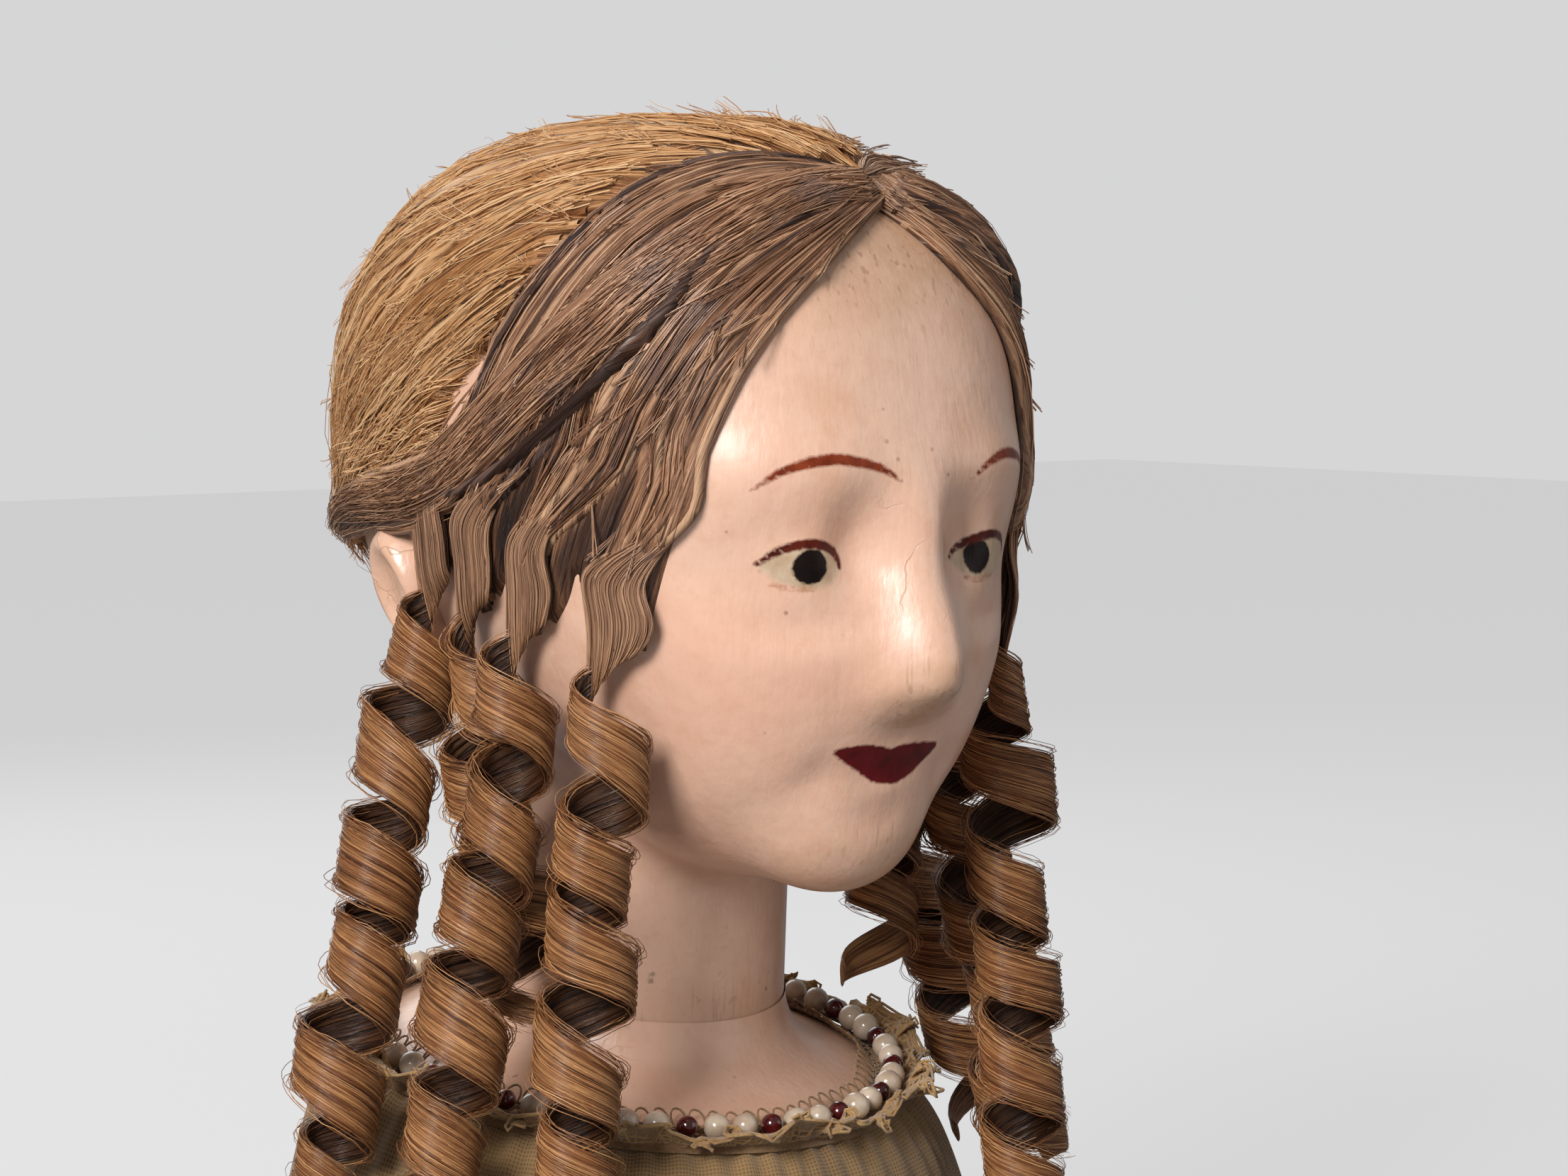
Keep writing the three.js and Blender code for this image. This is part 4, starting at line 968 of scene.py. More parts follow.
def makeBackHair():
    draw = np.random.default_rng(backHair["seed"])
    size = backHair["across"], backHair["long"]
    u, v = bedGrid(backHair)
    border = np.minimum(np.minimum(u, 1 - u) * 3, np.minimum(v * 2.4, (1 - v) * 1.6))
    ridges = 0.5 + 0.5 * np.sin(u * 120 + 3 * np.sin(v * 6 + u * 9))
    lift = -0.4 + (2.5 + 0.7 * ridges) * smoothStep(border / 0.16)
    makeBed("backHairBed", backSpot(u, v), lift, 0.45 * (1 - smoothStep(border / 0.1)), u * size[0], v * size[1],
            roughBand, "back_flax", "hair_back")

    tapes = backHair["tapes"]
    centre = np.linspace(0.01, 0.99, tapes)[:, None] + draw.normal(0, 0.004, (tapes, 1))
    centre = np.clip(centre + wander(draw, tapes, backHair["tapeRows"], 0.012), 0.004, 0.996)
    half, level = draw.uniform(0.006, 0.014, tapes), draw.uniform(1.7, 2.7, tapes)
    first, last = draw.uniform(0, 0.1, tapes), draw.uniform(0.85, 0.99, tapes)
    makeTapes("backHairLocks", backSpot, centre, half, level, first, last, draw.uniform(0, 1, tapes), size,
              roughBand, "back_flax", browned)

    count, steps = backHair["guides"], backHair["points"]
    along = np.linspace(0, 1, steps)[None]
    start = np.linspace(0.004, 0.996, count)[:, None] + draw.normal(0, 0.004, (count, 1))
    us = np.clip(start + wander(draw, count, steps, 0.014), 0.002, 0.998)
    first = draw.uniform(-0.02, 0.12, (count, 1))
    last = draw.uniform(0.9, 1.05, (count, 1))
    vs = first + (last - first) * along
    high = 2.7 + draw.uniform(-0.3, 1.0, (count, 1)) - 1.6 * smoothStep((np.abs(us - 0.5) - 0.44) / 0.06)
    high = high - 1.2 * smoothStep((vs - 0.93) / 0.1)
    guides = laid(backSpot(us, np.clip(vs, 0.0, 1.06)), high, hairLines["strandSink"]).reshape(count, steps, 3)
    fuzz = stubs(draw, backSpot, backHair["fuzz"], backHair["fuzzPoints"], 2.4, 0.02, 0.05)
    for name, lines, rooty in (("backHairFibres", guides, browned(us)), ("backHairFuzz", fuzz, 0.15)):
        along = np.linspace(0, 1, lines.shape[1])[None]
        fibres = growFibres(name, lines, 0.35 + 0.65 * along, 1 - 0.5 * along ** 3, 0.0, rooty, backHair,
                            backHair["seed"], roughFlax)
        settle(fibres, "back_flax")


makeBackHair()

curtain = {
    "across": 60, "long": 110, "columns": 88, "rows": 60, "tapes": 44, "tapeRows": 40, "guides": 120, "points": 24,
    "fuzz": 60, "copies": 5, "fibre": 0.00011, "spread": 0.0006, "wave": 0.0016, "waveScale": 70.0, "ragged": 0.05,
    "gather": 0.86, "sway": 0.05, "bedSeed": 20, "fibreSeed": 31,
}


def lockSway(vs):
    # each lock bends towards the face and back before it winds up
    swing = smoothStep((vs - 0.5) / 0.12) * (1 - smoothStep((vs - 0.76) / 0.12))
    return -curtain["sway"] * np.sin(2 * np.pi * (vs - 0.5) / 0.38) * swing


def gathered(us, vs):
    # strands draw together towards the ringlets' roots
    roots = np.array(hairLines["roots"])
    nearest = roots[np.abs(us.mean(-1, keepdims=True)[..., None] - roots).argmin(-1)]
    pull = curtain["gather"] * smoothStep((vs - 0.48) / 0.4)
    return us + (nearest - us) * pull + lockSway(vs)


def makeCurtain(word, side):
    draw = np.random.default_rng(curtain["bedSeed"] + side)
    size = curtain["across"], curtain["long"]
    spot = lambda u, v: curtainSpot(side, u, v)
    u, v = bedGrid(curtain, 0.92)
    border = np.minimum(np.minimum(u, 1 - u) * 2.0, (0.93 - v) * 0.9)
    ridges = 0.5 + 0.5 * np.sin(u * 70 + 2.5 * np.sin(v * 5 + 1.0))
    reach = np.abs((u - lockSway(v))[..., None] - np.array(hairLines["roots"])).min(-1)
    lobe = 0.17 * (1 - 0.66 * smoothStep((v - 0.72) / 0.2))
    gaps = smoothStep((reach - lobe) / 0.03) * smoothStep((v - 0.72) / 0.06)
    deep = 0.85 * smoothStep((reach - 0.06) / 0.06) * smoothStep((v - 0.52) / 0.2)
    lift = -0.4 + (1.6 + 0.6 * ridges) * smoothStep(border / 0.07) - 3.0 * gaps
    makeBed(word + "CurtainBed", spot(u, v), lift, deep, u * size[0], v * size[1], combedBand, "flax_hair",
            "hair_curtain_" + word)

    tapes, rows = curtain["tapes"], curtain["tapeRows"]
    first, last = draw.uniform(0.0, 0.06, tapes), draw.uniform(0.86, 0.95, tapes)
    v = first[:, None] + (last - first)[:, None] * np.linspace(0, 1, rows)[None]
    centre = np.linspace(0.015, 0.985, tapes)[:, None] + draw.normal(0, 0.012, (tapes, 1))
    centre = gathered(np.clip(centre + wander(draw, tapes, rows, 0.014), 0.012, 0.99), v)
    half, level = draw.uniform(0.014, 0.036, tapes), draw.uniform(1.1, 2.7, tapes)
    makeTapes(word + "CurtainLocks", spot, centre, half, level, first, last, draw.uniform(0, 1, tapes), size,
              combedBand, "flax_hair")

    count, steps = curtain["guides"], curtain["points"]
    along = np.linspace(0, 1, steps)[None]
    start = np.linspace(0.0, 1.0, count)[:, None] + draw.normal(0, 0.004, (count, 1))
    us = np.clip(start + wander(draw, count, steps, 0.016), -0.01, 1.02)
    vs = 0.93 * along * np.ones((count, 1))
    us = gathered(us, vs)
    high = 2.1 + draw.uniform(-0.3, 0.9, (count, 1)) - 1.3 * smoothStep((0.05 - us) / 0.06)
    guides = laid(spot(us, vs), high, hairLines["strandSink"]).reshape(count, steps, 3)
    fuzz = stubs(draw, lambda u, v: spot(u, v * 0.8), curtain["fuzz"], steps, 2.2, 0.06, 0.12)
    fibres = growFibres(word + "CurtainFibres", np.vstack([guides, fuzz]), 0.3 + 0.7 * along, 1.0, 0.0, 0.0,
                        curtain, curtain["fibreSeed"] + side, combedFlax)
    settle(fibres, "flax_hair")


crossLock = {
    "width": 11.0, "seat": 2.6, "thickness": 2.6, "columns": 20, "rows": 60, "tapes": 18, "tapeRows": 44,
    "guides": 80, "points": 28, "copies": 5, "fibre": 0.00011, "spread": 0.0009, "wave": 0.002, "waveScale": 60.0,
    "ragged": 0.1, "twist": 0.14, "halfTurns": 3.2, "bedSeed": 40, "fibreSeed": 51,
}


def makeCrossLock(word, side):
    draw = np.random.default_rng(crossLock["bedSeed"] + side)
    start = np.array(hairLines["crossStart"], float) + np.array([side * 4, 0, 0])
    path = sideLine(start - np.array([side * 0.3, 0, 0]), hairLines["crossLock"], side)

    def spot(u, v):
        middle = splineAt(path, v)
        run = unit(splineAt(path, np.clip(v + 0.01, 0, 1)) - splineAt(path, np.clip(v - 0.01, 0, 1)))
        across = unit(np.cross(run, unit(middle - headShape["centre"])))
        width = crossLock["width"] * (0.45 + 0.55 * np.sin(np.pi * np.clip(0.14 + 0.9 * v, 0, 1)))
        return middle + across * ((u - 0.5) * width)[..., None]

    def dome(u):
        return np.sqrt(np.clip(1 - (2 * np.clip(u, 0, 1) - 1) ** 2, 0, 1))

    def twist(along, count):
        turn = crossLock["halfTurns"] * np.pi * along
        return crossLock["twist"] * np.sin(turn + draw.uniform(0, 6.28, (count, 1)))

    u, v = bedGrid(crossLock)
    ends = smoothStep(np.minimum(v, 1 - v) / 0.08)
    lift = -0.8 + (crossLock["seat"] + 0.3) * dome(u) * ends
    makeBed(word + "CrossBed", spot(u, v), lift, 0.6, u * 16, v * 120, combedBand, "flax_hair",
            "cross_lock_" + word)

    tapes, rows = crossLock["tapes"], crossLock["tapeRows"]
    first, last = draw.uniform(0.0, 0.12, tapes), draw.uniform(0.88, 1.0, tapes)
    turning = twist(np.linspace(0, 1, rows)[None], tapes)
    centre = draw.uniform(0.15, 0.85, (tapes, 1)) + turning + wander(draw, tapes, rows, 0.2)
    level = 2.4 + 1.7 * dome(centre.mean(1)) + draw.uniform(-1.1, 0.8, tapes)
    half, tone = draw.uniform(0.05, 0.12, tapes), draw.uniform(0, 1, tapes)
    makeTapes(word + "CrossLocks", spot, np.clip(centre, -0.25, 1.25), half, level, first, last, tone, (16, 130),
              combedBand, "flax_hair")

    count, steps = crossLock["guides"], crossLock["points"]
    along = np.linspace(0, 1, steps)[None]
    turning = twist(along, count)
    us = draw.uniform(0.1, 0.9, (count, 1)) + turning + wander(draw, count, steps, 0.14, 6)
    us = np.clip(us, -0.35, 1.35)
    high = 2.7 + crossLock["thickness"] * 0.75 * dome(us) + draw.uniform(-0.3, 0.5, (count, 1))
    guides, _ = onHead(spot(us, along * np.ones((count, 1))).reshape(-1, 3), high.reshape(-1))
    fibres = growFibres(word + "CrossFibres", guides.reshape(count, steps, 3), 0.3 + 0.7 * along,
                        1 - 0.5 * along ** 4, 0.0, 0.0, crossLock, crossLock["fibreSeed"] + side, combedFlax)
    settle(fibres, "flax_hair")


sides = (("right", -1), ("left", 1))
for word, side in sides:
    makeCurtain(word, side)
    makeCrossLock(word, side)


# Ringlets, ribbons of flax wound in left-handed screws

ringlet = {
    "radius": 6.7, "width": 9.4, "pitch": 17.5, "thickness": 0.8, "perTurn": 22, "turnLength": 41, "sway": 1.1,
    "lockWidth": 8.5, "leadIn": 26.0, "leadRows": 30, "leadSpread": 0.098, "highStart": 0.87, "leftDrift": 5,
    "columns": 11, "joinRows": 7, "joinPasses": 60, "rootLift": 1.9, "rooty": 0.85, "shade": 0.85,
    "guides": 26, "innerGuides": 7, "strays": 8, "copies": 3, "fibre": 0.000085, "spread": 0.00028,
    "wave": 0.0005, "waveScale": 140.0, "ragged": 0.12, "seed": 60,
    "table": {  # root along the curtain's foot, stand-off, turn and height of the tail, gap to the dress
        "1": (0.95, 7, 83, 58, 2), "2": (0.38, 5, 65, 55, 3), "3": (0.06, 5, 47, 38, 3),
        "4": (0.66, 1.5, 60, 90, 3)},
    "neckHeight": 81, "neckReach": 31.65, "tailReach": 6.9,
}


def bodiceSpot(turn, s, lift):
    top = torsoShape["neckline"]
    low = np.clip((s - top - 0.6) / (5 - top - 0.6), 0, 1)
    fold = torsoShape["foldDepth"] * low * (0.5 + 0.5 * np.cos(turn * torsoShape["folds"]))
    return onTorso(turn, s, 0.3 + torsoShape["hemStandoff"] * low + fold + lift)


def evenly(line, count):
    # points in equal steps of length along a line, and its length
    run = np.concatenate([[0], np.cumsum(np.linalg.norm(np.diff(line, axis=0), axis=1))])
    at = np.linspace(0, run[-1], count)
    return np.stack([np.interp(at, run, line[:, k]) for k in range(3)], -1), run[-1]


def centripetal(knots, count):
    # the centripetal Catmull-Rom curve that the solids follow
    p = np.array(knots, float)
    p = np.vstack([2 * p[0] - p[1], p, 2 * p[-1] - p[-2]])
    line = []
    for i in range(len(p) - 3):
        a, b, c, d = p[i:i + 4]
        ta = 0.0
        tb = ta + np.linalg.norm(b - a) ** 0.5
        tc = tb + np.linalg.norm(c - b) ** 0.5
        td = tc + np.linalg.norm(d - c) ** 0.5
        t = np.linspace(tb, tc, 80, endpoint=i == len(p) - 4)[:, None]
        mix = lambda start, end, low, high: (high - t) / (high - low) * start + (t - low) / (high - low) * end
        ab, bc, cd = mix(a, b, ta, tb), mix(b, c, tb, tc), mix(c, d, tc, td)
        line.append(mix(mix(ab, bc, ta, tc), mix(bc, cd, tb, td), tb, tc))
    return evenly(np.vstack(line), count)


def ringletAxis(side, key):
    rootAt, stand, tailTurn, tailHeight, gap = ringlet["table"][key]
    root, normal = onHead(curtainSpot(side, np.array(rootAt), np.array(1.0)), ringlet["rootLift"])
    out = unit(normal * np.array([1, 1, 0]))
    root = root - np.array([0, 0, 1.0])
    turn = math.radians(side * (tailTurn - (ringlet["leftDrift"] if side > 0 else 0)))
    if tailHeight > ringlet["neckHeight"]:
        reach = ringlet["neckReach"] + gap
    else:
        s = np.arange(1, 5, 0.1)
        spots, _ = bodiceSpot(np.full_like(s, turn), s, np.full_like(s, 1.2))
        reach = np.hypot(spots[:, 0], spots[:, 1])[spots[:, 2] > tailHeight - 12].max()
    tail = np.array([math.sin(turn), -math.cos(turn), 0]) * (reach + ringlet["tailReach"] + gap)
    tail[2] = tailHeight
    bend = root + out * stand - np.array([0, 0, 12.0])
    high, _ = onHead(curtainSpot(side, np.array(rootAt), np.array(ringlet["highStart"])), ringlet["rootLift"])
    return [high, root + out * 3.5 + np.array([0, 0, 2.0]), bend, (bend + tail) / 2, tail], root, out


def makeRinglet(word, side, key, seed):
    draw = np.random.default_rng(seed)
    knots, root, out = ringletAxis(side, key)
    _, length = centripetal(knots, 50)
    pitch, leadRows = ringlet["pitch"], ringlet["leadRows"]
    turns = length / pitch
    steps = int(turns * ringlet["perTurn"])
    rows = leadRows + steps + 1
    middle, _ = centripetal(knots, steps + 1)
    t = np.linspace(0, 1, steps + 1)
    axis = unit(np.gradient(middle, axis=0))
    e1 = unit(np.cross(np.array([0.0, 1.0, 0.0]), axis))
    e2 = np.cross(axis, e1)
    wound = smoothStep(t * length / (pitch * 0.85))
    fall = np.clip((1 - t) * length / pitch, 0, 1)
    uneven = 1 + 0.1 * np.sin(t * turns * 2.1 + seed) + 0.08 * np.sin(t * turns * 3.7 + 2 * seed)
    sway = ringlet["sway"] * wound * (1 - t ** 4)
    middle = middle + e1 * (sway * np.sin(t * turns * 3.3 + seed))[:, None]
    middle = middle + e2 * (sway * np.sin(t * turns * 2.6 + 2 * seed))[:, None]
    opening = 0.3 + 0.7 * smoothStep(t * length / (pitch * 1.7))
    radius = ringlet["radius"] * uneven * opening * (0.85 + 0.15 * fall)
    width = ringlet["lockWidth"] + (ringlet["width"] - ringlet["lockWidth"]) * wound
    half = width * (0.55 + 0.45 * fall) / 2 * (1 + 0.12 * np.sin(t * turns * 5.3 + seed))
    half = half * (0.85 + 0.15 * smoothStep((1 - t) * length / 9))
    first = math.atan2(out @ e2[0], out @ e1[0])
    phase = first - 2 * np.pi * turns * t - 0.5 * np.sin(t * turns * 2.4 + seed) * wound
    climb = math.atan2(pitch, 2 * math.pi * ringlet["radius"])

    # the lock that leads down the curtain into the screw
    aside = np.array([-out[1], out[0], 0.0])
    rootAt = ringlet["table"][key][0]
    leadLong = ringlet["leadIn"] / curtain["long"]
    leadV = ringlet["highStart"] - leadLong * np.linspace(1, 0, leadRows, endpoint=False)
    leadShare = np.linspace(0, 1, leadRows)
    leadWide = ringlet["leadSpread"] * (0.25 + 0.75 * smoothStep(leadShare * 1.2))
    leadLift = 0.4 + 2.4 * smoothStep(leadShare * 1.15)
    curling = np.sin(np.pi * np.clip(leadShare, 0, 1)) * smoothStep(leadShare / 0.3)
    leadPhase = np.pi * (1 - leadShare) + seed
    leadAside = lockSway(leadV) + 0.015 * curling * np.sin(leadPhase)

    def ribbon(s, lift):
        # s across the ribbon from -1 to 1: a flat lock on the curtain that peels off and winds up
        crown = 0.7 * (1 - s * s)
        tilt = 0.8 * curling * (1 + s * np.cos(leadPhase))
        spot = curtainSpot(side, rootAt + side * s * leadWide + leadAside, leadV)
        lock, normal = onHead(spot, leadLift + tilt + crown)
        lock = lock + normal * lift
        straight = middle + (aside * s)[None] * half[:, None] + out * (1.0 + crown + lift)
        a = (phase - s * half * math.sin(climb) / ringlet["radius"])[:, None]
        spoke = e1 * np.cos(a) + e2 * np.sin(a)
        curl = middle + spoke * (radius + lift)[:, None] - axis * (s * half * math.cos(climb))[:, None]
        return np.vstack([lock, straight + (curl - straight) * wound[:, None]])

    def fullRibbon(s, lift):
        # keeps the lock's width while it turns over into the screw
        spine, edge = ribbon(0.0, lift), ribbon(s, lift)
        off = edge - spine
        wide = np.concatenate([np.zeros(leadRows), half * abs(s)])
        grow = np.clip(wide / np.maximum(np.linalg.norm(off, axis=1), 0.05), 1, 2.5)
        line = spine + off * grow[:, None]
        soft = 0.5 * np.exp(-((np.arange(rows) - leadRows) / ringlet["joinRows"]) ** 2)[1:-1, None]
        for _ in range(ringlet["joinPasses"]):
            line[1:-1] += soft * ((line[:-2] + line[2:]) / 2 - line[1:-1])
        return line

    columns = ringlet["columns"]
    across = np.linspace(-1, 1, columns)
    cup = lambda s: ringlet["thickness"] / 2 * math.sqrt(max(1 - s * s, 0)) + 0.04
    ring = [fullRibbon(s, cup(s)) for s in across] + [fullRibbon(s, -cup(s)) for s in across[::-1]]
    around = len(ring)
    faces = gridFaces(around, rows - 1, True).tolist()
    faces += [list(range(around))[::-1], list(range((rows - 1) * around, rows * around))]
    band = makePiece(word + "Ringlet" + key + "Band", np.stack(ring, 1).reshape(-1, 3), faces, curlBand)
    middleFace = band.data.polygons[(leadRows // 2) * around + columns // 2]
    if Vector(middleFace.normal).dot(Vector(out)) < 0:
        band.data.flip_normals()
    inner = np.repeat([0, ringlet["shade"]], columns)
    hollow = np.concatenate([np.ones(leadRows), 0.1 + 0.9 * smoothStep((fall - 0.15) / 0.6)])
    keepValue(band, "shade", np.outer(hollow, inner).ravel())
    rooty = ringlet["rooty"] * np.concatenate([np.ones(leadRows), 1 - smoothStep(t * length / 20)])
    keepValue(band, "rooty", np.repeat(rooty, around))
    keepValue(band, "tone", np.full(rows * around, draw.uniform(0.4, 0.8)))
    lay = np.concatenate([across, across[::-1] + 2.2]) * ringlet["width"] / 2
    lead = np.linspace(-ringlet["leadIn"], 0, leadRows, endpoint=False)
    spun = np.concatenate([lead, t * turns * ringlet["turnLength"]])
    addLay(band, np.tile(lay, rows), np.repeat(spun, around))

    # loose fibres follow the ribbon and fray at its edges
    guides, free, shade = [], [], []
    kinds = [(s, "outer") for s in np.linspace(-1.03, 1.03, ringlet["guides"])]
    kinds += [(s, "inner") for s in np.linspace(-0.95, 0.95, ringlet["innerGuides"])]
    kinds += [(draw.choice((-1.05, 1.05)), "stray") for _ in range(ringlet["strays"])]
    flow = np.concatenate([np.zeros(leadRows), t])
    for s, kind in kinds:
        s = np.clip(s + draw.normal(0, 0.03), -1.1, 1.1)
        lift = {"outer": 0.42 + draw.uniform(-0.1, 0.18), "inner": -0.5, "stray": 0.45}[kind]
        guides.append(fullRibbon(s, lift))
        loose = {"outer": 1.0, "inner": 0.8, "stray": 4.5}[kind]
        free.append(0.8 + (loose - 0.8) * smoothStep(flow * 3) + 3.0 * smoothStep((flow - 0.95) / 0.05))
        shade.append(hollow * (0.8 if kind == "inner" else 0.0))
    fibres = growFibres(word + "Ringlet" + key + "Fibres", np.array(guides), np.array(free),
                        1 - 0.6 * flow ** 8, np.array(shade), rooty, ringlet, seed, curlFlax)
    body = "ringlet_" + word + "_" + key
    for piece in (band, fibres):
        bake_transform(piece)
    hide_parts(body)


for word, side in sides:
    for key in ringlet["table"]:
        makeRinglet(word, side, key, ringlet["seed"] + int(key) + (10 if side > 0 else 0))


# Cloth and lace

def wovenCloth(name, hexText, dark):
    material, tree, bsdf = shader(name)
    lay = put(tree, "ShaderNodeUVMap", uv_map="lay").outputs["UV"]
    warp, weft = (
        put(tree, "ShaderNodeTexWave", {"Vector": lay, "Scale": 420, "Distortion": 0.6, "Detail": 1},
            bands_direction=way).outputs["Fac"] for way in ("X", "Y"))
    threads = sums(tree, "MAXIMUM", warp, weft)
    tone = weigh(tree, threads, 0.4, noise(tree, place(tree), 60, 5), 0.75)
    colour = ramp(tree, tone, (0.3, dark), (0.8, hexText))
    plug(tree, bsdf, {"Base Color": colour, "Roughness": 0.9, "Sheen Weight": 0.25})
    relief(tree, bsdf, threads, 0.4, 0.0004)
    return material


def cottonThread(name, hexText, dark):
    material, tree, bsdf = shader(name)
    where = place(tree)
    tone = weigh(tree, noise(tree, where, 90, 4), 0.6, noise(tree, where, 1500, 3), 0.45)
    colour = ramp(tree, tone, (0.3, dark), (0.72, hexText))
    plug(tree, bsdf, {"Base Color": colour, "Roughness": 0.85, "Sheen Weight": 0.3})
    relief(tree, bsdf, noise(tree, where, 2600, 3), 0.5, 0.0003)
    return material


dressCloth = wovenCloth("agedDressCloth", "96764c", "5d4429")
frillThread = cottonThread("ochreThread", "c39d66", "80592f")
netThread = cottonThread("brownedThread", "a07c52", "5f4127")

bodice = {"columns": 150, "rows": 44, "gathers": 64, "gatherDepth": 0.5, "lift": 0.75}


def makeBodice(name, word, middle):
    turnAt = np.linspace(-math.pi / 2, math.pi / 2, bodice["columns"] + 1) + middle
    rowAt = np.linspace(torsoShape["neckline"] - 0.05, torsoShape["hem"], bodice["rows"] + 1)
    turn, s = np.meshgrid(turnAt, rowAt)
    fade = smoothStep((s - 2.05) / 0.3) * (1 - 0.6 * smoothStep((s - 2.4) / 1.4))
    ruck = bodice["gatherDepth"] * fade * np.sin(turn * bodice["gathers"] + 2 * np.sin(turn * 7))
    points, _ = bodiceSpot(turn, s, bodice["lift"] + ruck)
    faces = gridFaces(bodice["columns"], bodice["rows"])[:, ::-1]
    piece = makePiece(name, points.reshape(-1, 3), faces, dressCloth)
    steps = np.linalg.norm(np.diff(points, axis=0), axis=-1).mean(1)
    long = np.concatenate([[0], np.cumsum(steps)])
    addLay(piece, turn * torsoShape["rows"][-1, 1], np.repeat(long, bodice["columns"] + 1))
    settle(piece, "dress_cloth", "bodice_" + word)


makeBodice("bodiceFrontCloth", "front", 0)
makeBodice("bodiceBackCloth", "back", math.pi)


# Threads that follow guide lines, for the lace

def threadTree():
    tree, sockets, source = startTree("laceThreads", "Guides", {
        "Thickness": "Float", "Wave": "Float", "Sides": "Int", "Thread": "Material"}, "Lace")
    lines = put(tree, "GeometryNodeMeshToCurve", {"Mesh": source["Guides"]})
    here = put(tree, "GeometryNodeInputPosition").outputs[0]
    ripple = put(tree, "ShaderNodeTexNoise", {"Vector": here, "Scale": 380.0, "Detail": 1.0}).outputs["Color"]
    shift = vector(tree, "SCALE", vector(tree, "SUBTRACT", ripple, (0.5, 0.5, 0.5)), source["Wave"])
    moved = put(tree, "GeometryNodeSetPosition", {"Geometry": lines.outputs[0], "Offset": shift})
    endTree(tree, tube(tree, moved.outputs[0], source["Sides"], source["Thickness"]), source["Thread"])
    return tree, sockets


threadGrowth = threadTree()


def layThreads(name, lines, thickness, wave, sideCount, material):
    # lines: lists of points in millimetres, closed where the last repeats the first
    points, edges = [], []
    for line in lines:
        closed = np.allclose(line[0], line[-1])
        line = line[:-1] if closed else line
        first = len(points)
        points.extend(line.tolist())
        edges.extend((first + i, first + i + 1) for i in range(len(line) - 1))
        if closed:
            edges.append((first + len(line) - 1, first))
    return bake(makePiece(name, points, edges=edges), threadGrowth, {
        "Thickness": thickness, "Wave": wave, "Sides": sideCount, "Thread": material})


front = np.array(0.0)
rowsPerMm = 0.5 / np.linalg.norm(torsoSkin(front, np.array(1.5)) - torsoSkin(front, np.array(2.0)))
collar = {
    "width": 5.0, "meshes": 130, "loops": 84, "loopHeight": 3.4, "thickness": 0.0002, "wave": 0.0004,
    "outer": torsoShape["neckline"] - 0.6 * rowsPerMm, "rounds": (0.0, 0.35, 2.4, 4.6, 5.0),
}
fullTurn = 2 * np.pi


def collarSpot(turn, width, lift):
    width, lift = np.broadcast_to(width, turn.shape), np.broadcast_to(lift, turn.shape)
    return onTorso(turn, collar["outer"] - width * rowsPerMm, lift)[0]


def makeCollar():
    around = np.linspace(0, fullTurn, 361)
    lines = [collarSpot(around, width, 0.55) for width in collar["rounds"]]
    q = np.linspace(0, 1, 6)
    for lean in (-1, 1):
        for i in range(collar["meshes"]):
            turn = fullTurn * (i + lean * 1.6 * q) / collar["meshes"]
            lines.append(collarSpot(turn, q * collar["width"], 0.5 + 0.25 * np.sin(q * 9 + i)))
    a = np.linspace(0, fullTurn, 13)
    rise = (1 - np.cos(a)) / 2
    for i in range(collar["loops"]):
        turn = fullTurn * (i + 0.42 * np.sin(a)) / collar["loops"]
        tall = collar["loopHeight"] * (0.85 + 0.3 * math.sin(i * 12.9898) ** 2) * rise
        lines.append(collarSpot(turn, collar["width"] + tall, 0.6 + 1.6 * rise))
    return layThreads("collarLace", lines, collar["thickness"], collar["wave"], 4, netThread)


frill = {
    "waves": 24, "height": 7.5, "tuck": 0.4, "swing": 2.2, "meander": 0.05, "columns": 720, "rows": 10,
    "ribs": 300, "ribPoints": 7, "scallops": 150, "thickness": 0.0003, "wave": 0.0014,
    "rounds": (0.05, 0.25, 0.45, 0.65, 0.82, 0.95),
}


def frillSpot(turn, q):
    base = torsoShape["neckline"] + 1.2 * rowsPerMm
    phase = turn * frill["waves"] + 0.9 * np.sin(turn * 5 + 1)
    wave = np.sin(phase) + 0.3 * np.sin(turn * 61 + 2 * np.sin(turn * 3))
    tall = frill["height"] * (0.88 + 0.2 * np.sin(turn * 9 + 2) + 0.06 * np.sin(turn * 97))
    up, down = np.clip(q, 0, None), np.clip(-q, 0, None)  # the strip lies flat, sewn down, below its gathers
    crest = base + (1.2 + wave) * frill["swing"] * rowsPerMm * up ** 0.8 + frill["height"] * rowsPerMm * down
    crest = crest + 0.5 * rowsPerMm * up ** 2 * np.sin(turn * frill["scallops"])
    drift = frill["meander"] * up * np.sin(2 * phase)
    return onTorso(turn + drift, crest, 1.8 + tall * up - 1.3 * up ** 3)[0]


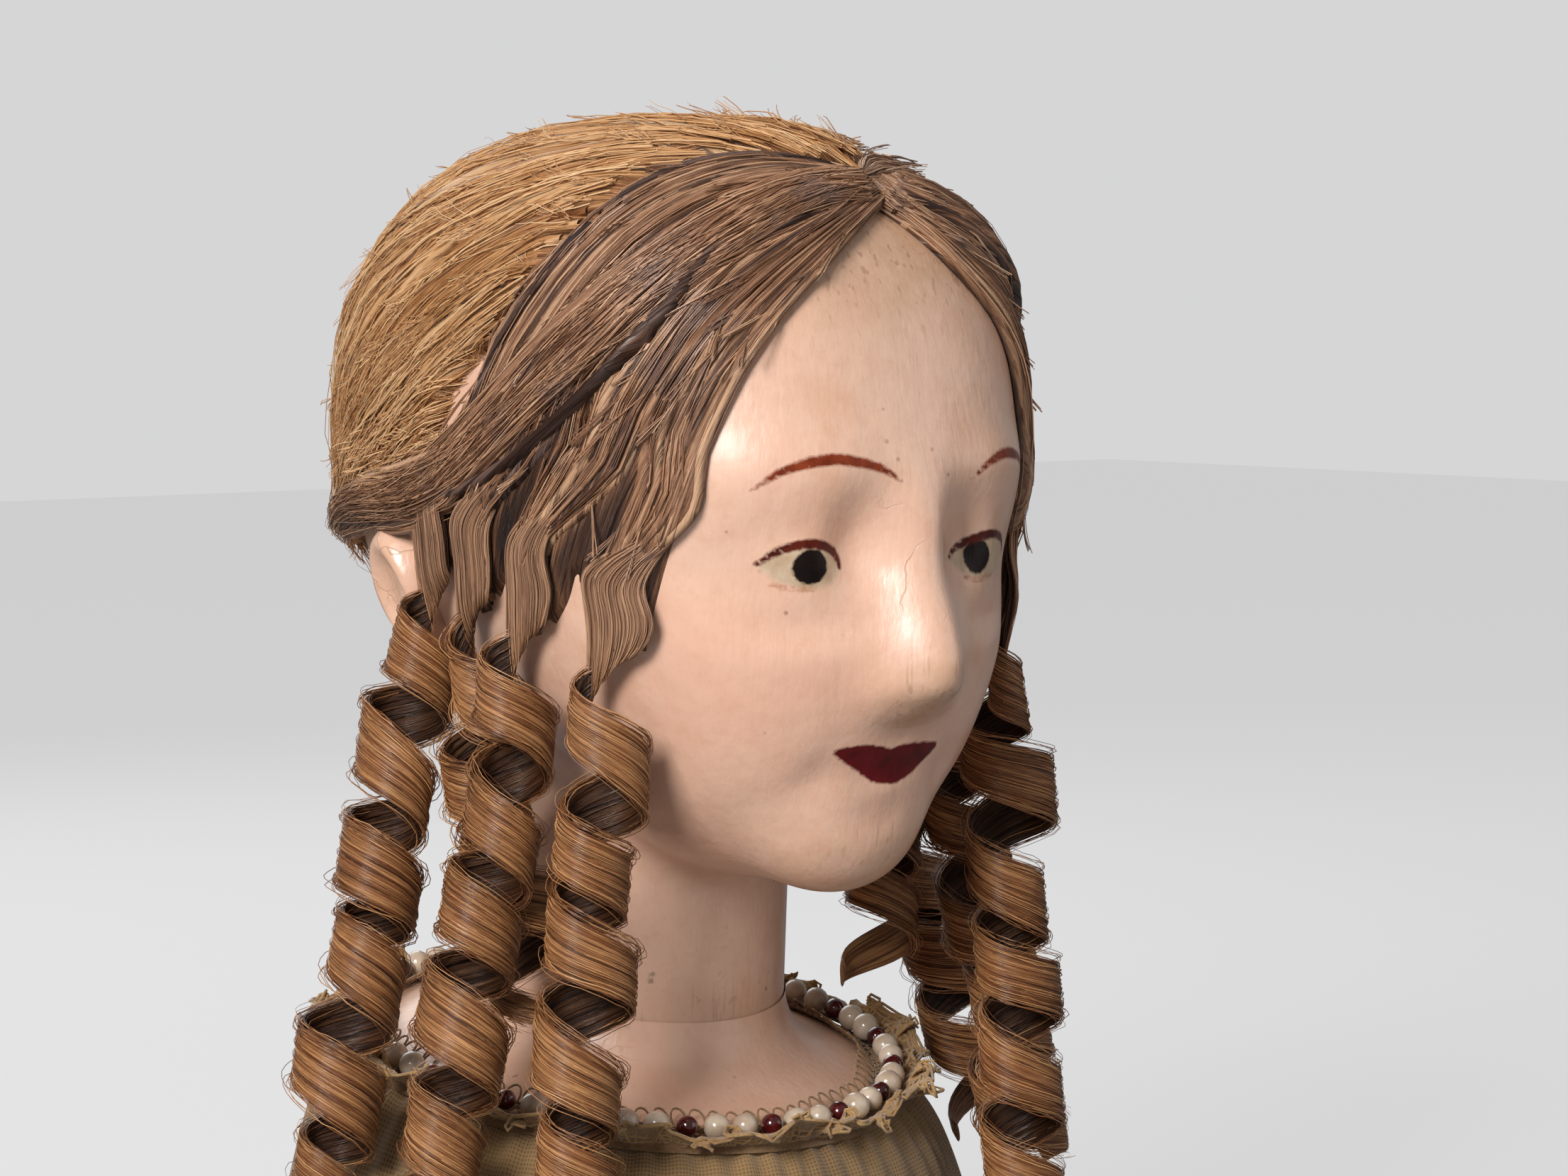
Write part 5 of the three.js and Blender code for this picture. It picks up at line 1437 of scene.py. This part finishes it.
def makeFrill():
    turn, q = np.meshgrid(np.linspace(0, fullTurn, frill["columns"], endpoint=False),
                          np.linspace(-frill["tuck"], 0.97, frill["rows"] + 1))
    points = frillSpot(turn, q).reshape(-1, 3)
    # the strip under the threads is a solid sheet in the darker thread colour: painted shade seen through the open
    # crochet
    shadeSheet = makePiece("frillShadeSheet", points, gridFaces(frill["columns"], frill["rows"], True), netThread)
    lines = []
    along = np.linspace(0, 1, frill["ribPoints"])
    for i in range(frill["ribs"]):
        spot = np.full_like(along, fullTurn * i / frill["ribs"])
        lines.append(frillSpot(spot, along) + np.array([0, 0, 0.1]))
    around = np.linspace(0, fullTurn, frill["columns"] + 1)
    for level in frill["rounds"]:
        lines.append(frillSpot(around, np.full_like(around, level)) + np.array([0, 0, 0.12]))
    a = np.linspace(0, fullTurn, 9)
    for i in range(frill["scallops"]):
        spot = fullTurn * (i + 0.5 + 0.5 * np.sin(a)) / frill["scallops"]
        lines.append(frillSpot(spot, 0.94 + 0.15 * (1 - np.cos(a))))
    return shadeSheet, layThreads("frillThreads", lines, frill["thickness"], frill["wave"], 4, frillThread)


collarLace = makeCollar()
frillShadeSheet, frillThreads = makeFrill()
settle(collarLace, "lace", "lace_collar")
settle(frillShadeSheet, "lace", "lace_frill")
settle(frillThreads, "lace")


# Beads sewn along the collar

beads = {
    "pearl": 5.0, "garnet": 4.0, "pitch": 5.25, "lift": 3.3, "uneven": 0.12, "seed": 4, "every": 3,
    "segments": 18, "rings": 11, "thread": 0.0003,
}


def beadTree():
    tree, sockets, source = startTree("sewnBeads", "Places", {
        "Diameter": "Float", "Uneven": "Float", "Seed": "Int", "Finish": "Material"}, "Beads")
    dots = put(tree, "GeometryNodeMeshToPoints", {"Mesh": source["Places"]})
    ball = put(tree, "GeometryNodeMeshUVSphere", {
        "Segments": beads["segments"], "Rings": beads["rings"],
        "Radius": times(tree, source["Diameter"], 0.5)})
    soft = put(tree, "GeometryNodeSetShadeSmooth", {"Geometry": ball.outputs[0]})
    size = drawn(tree, sums(tree, "SUBTRACT", 1.0, source["Uneven"]), 1.0, source["Seed"])
    each = put(tree, "GeometryNodeInstanceOnPoints", {
        "Points": dots.outputs[0], "Instance": soft.outputs[0], "Scale": size})
    endTree(tree, each.outputs[0], source["Finish"])
    return tree, sockets


def beadFinish(name, hexText, dark, rough, coat):
    material, tree, bsdf = shader(name)
    colour = ramp(tree, noise(tree, place(tree), 190, 3), (0.35, dark), (0.65, hexText))
    plug(tree, bsdf, {"Base Color": colour, "Roughness": rough, "Coat Weight": coat, "Coat Roughness": 0.08})
    return material


def sewBeads():
    around = np.linspace(0, fullTurn, 721)
    line = collarSpot(around, collar["width"] / 2, beads["lift"])
    count = int(evenly(line, 2)[1] // beads["pitch"])
    spots = evenly(line, count + 1)[0][:-1]
    growth = beadTree()
    dark = np.arange(count) % beads["every"] == beads["every"] - 1
    pearl = beadFinish("pearl", "d6c4ae", "b09a84", 0.25, 0.6)
    garnet = beadFinish("garnet", "5a0f12", "2c0608", 0.12, 0.8)
    for name, size, chosen, finish, nodes in (
            ("pearls", beads["pearl"], ~dark, pearl, ["bead_string"]),
            ("garnets", beads["garnet"], dark, garnet, [])):
        piece = bake(makePiece(name, spots[chosen]), growth, {
            "Diameter": size * mm, "Uneven": beads["uneven"], "Seed": beads["seed"], "Finish": finish})
        settle(piece, "beads", *nodes)
    settle(layThreads("beadThread", [line], beads["thread"], 0.0, 5, netThread), "beads")
    print("beads:", count)


sewBeads()


# Board, post and tacks keep their solids

def waxedWood(name):
    material, tree, bsdf = shader(name)
    grain = noise(tree, place(tree, (30, 260, 260)), 1.0, 6, 0.65, 1.2)
    fine = noise(tree, place(tree, (60, 1500, 1500)), 1.0, 3, 0.6)
    tone = weigh(tree, grain, 0.7, fine, 0.35)
    colour = ramp(tree, tone, (0.32, "5d3f23"), (0.55, "8a6238"), (0.75, "a67c4b"))
    plug(tree, bsdf, {"Base Color": colour, "Roughness": spread(tree, fine, 0.3, 0.7, 0.42, 0.6)})
    relief(tree, bsdf, fine, 0.25, 0.0004)
    return material


def dullIron(name):
    material, tree, bsdf = shader(name)
    colour = ramp(tree, noise(tree, place(tree), 700, 4), (0.45, "5d5a55"), (0.7, "6d4a33"))
    plug(tree, bsdf, {"Base Color": colour, "Metallic": 0.8, "Roughness": 0.55})
    return material


wood, iron = waxedWood("waxedWood"), dullIron("dullIron")
wooden = ("base_board", "head_post", "neck_plug")
for name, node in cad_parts.items():
    kept = wood if name in wooden else iron if name.startswith("rim_tack") else None
    if kept:
        node.data.materials.clear()
        node.data.materials.append(kept)
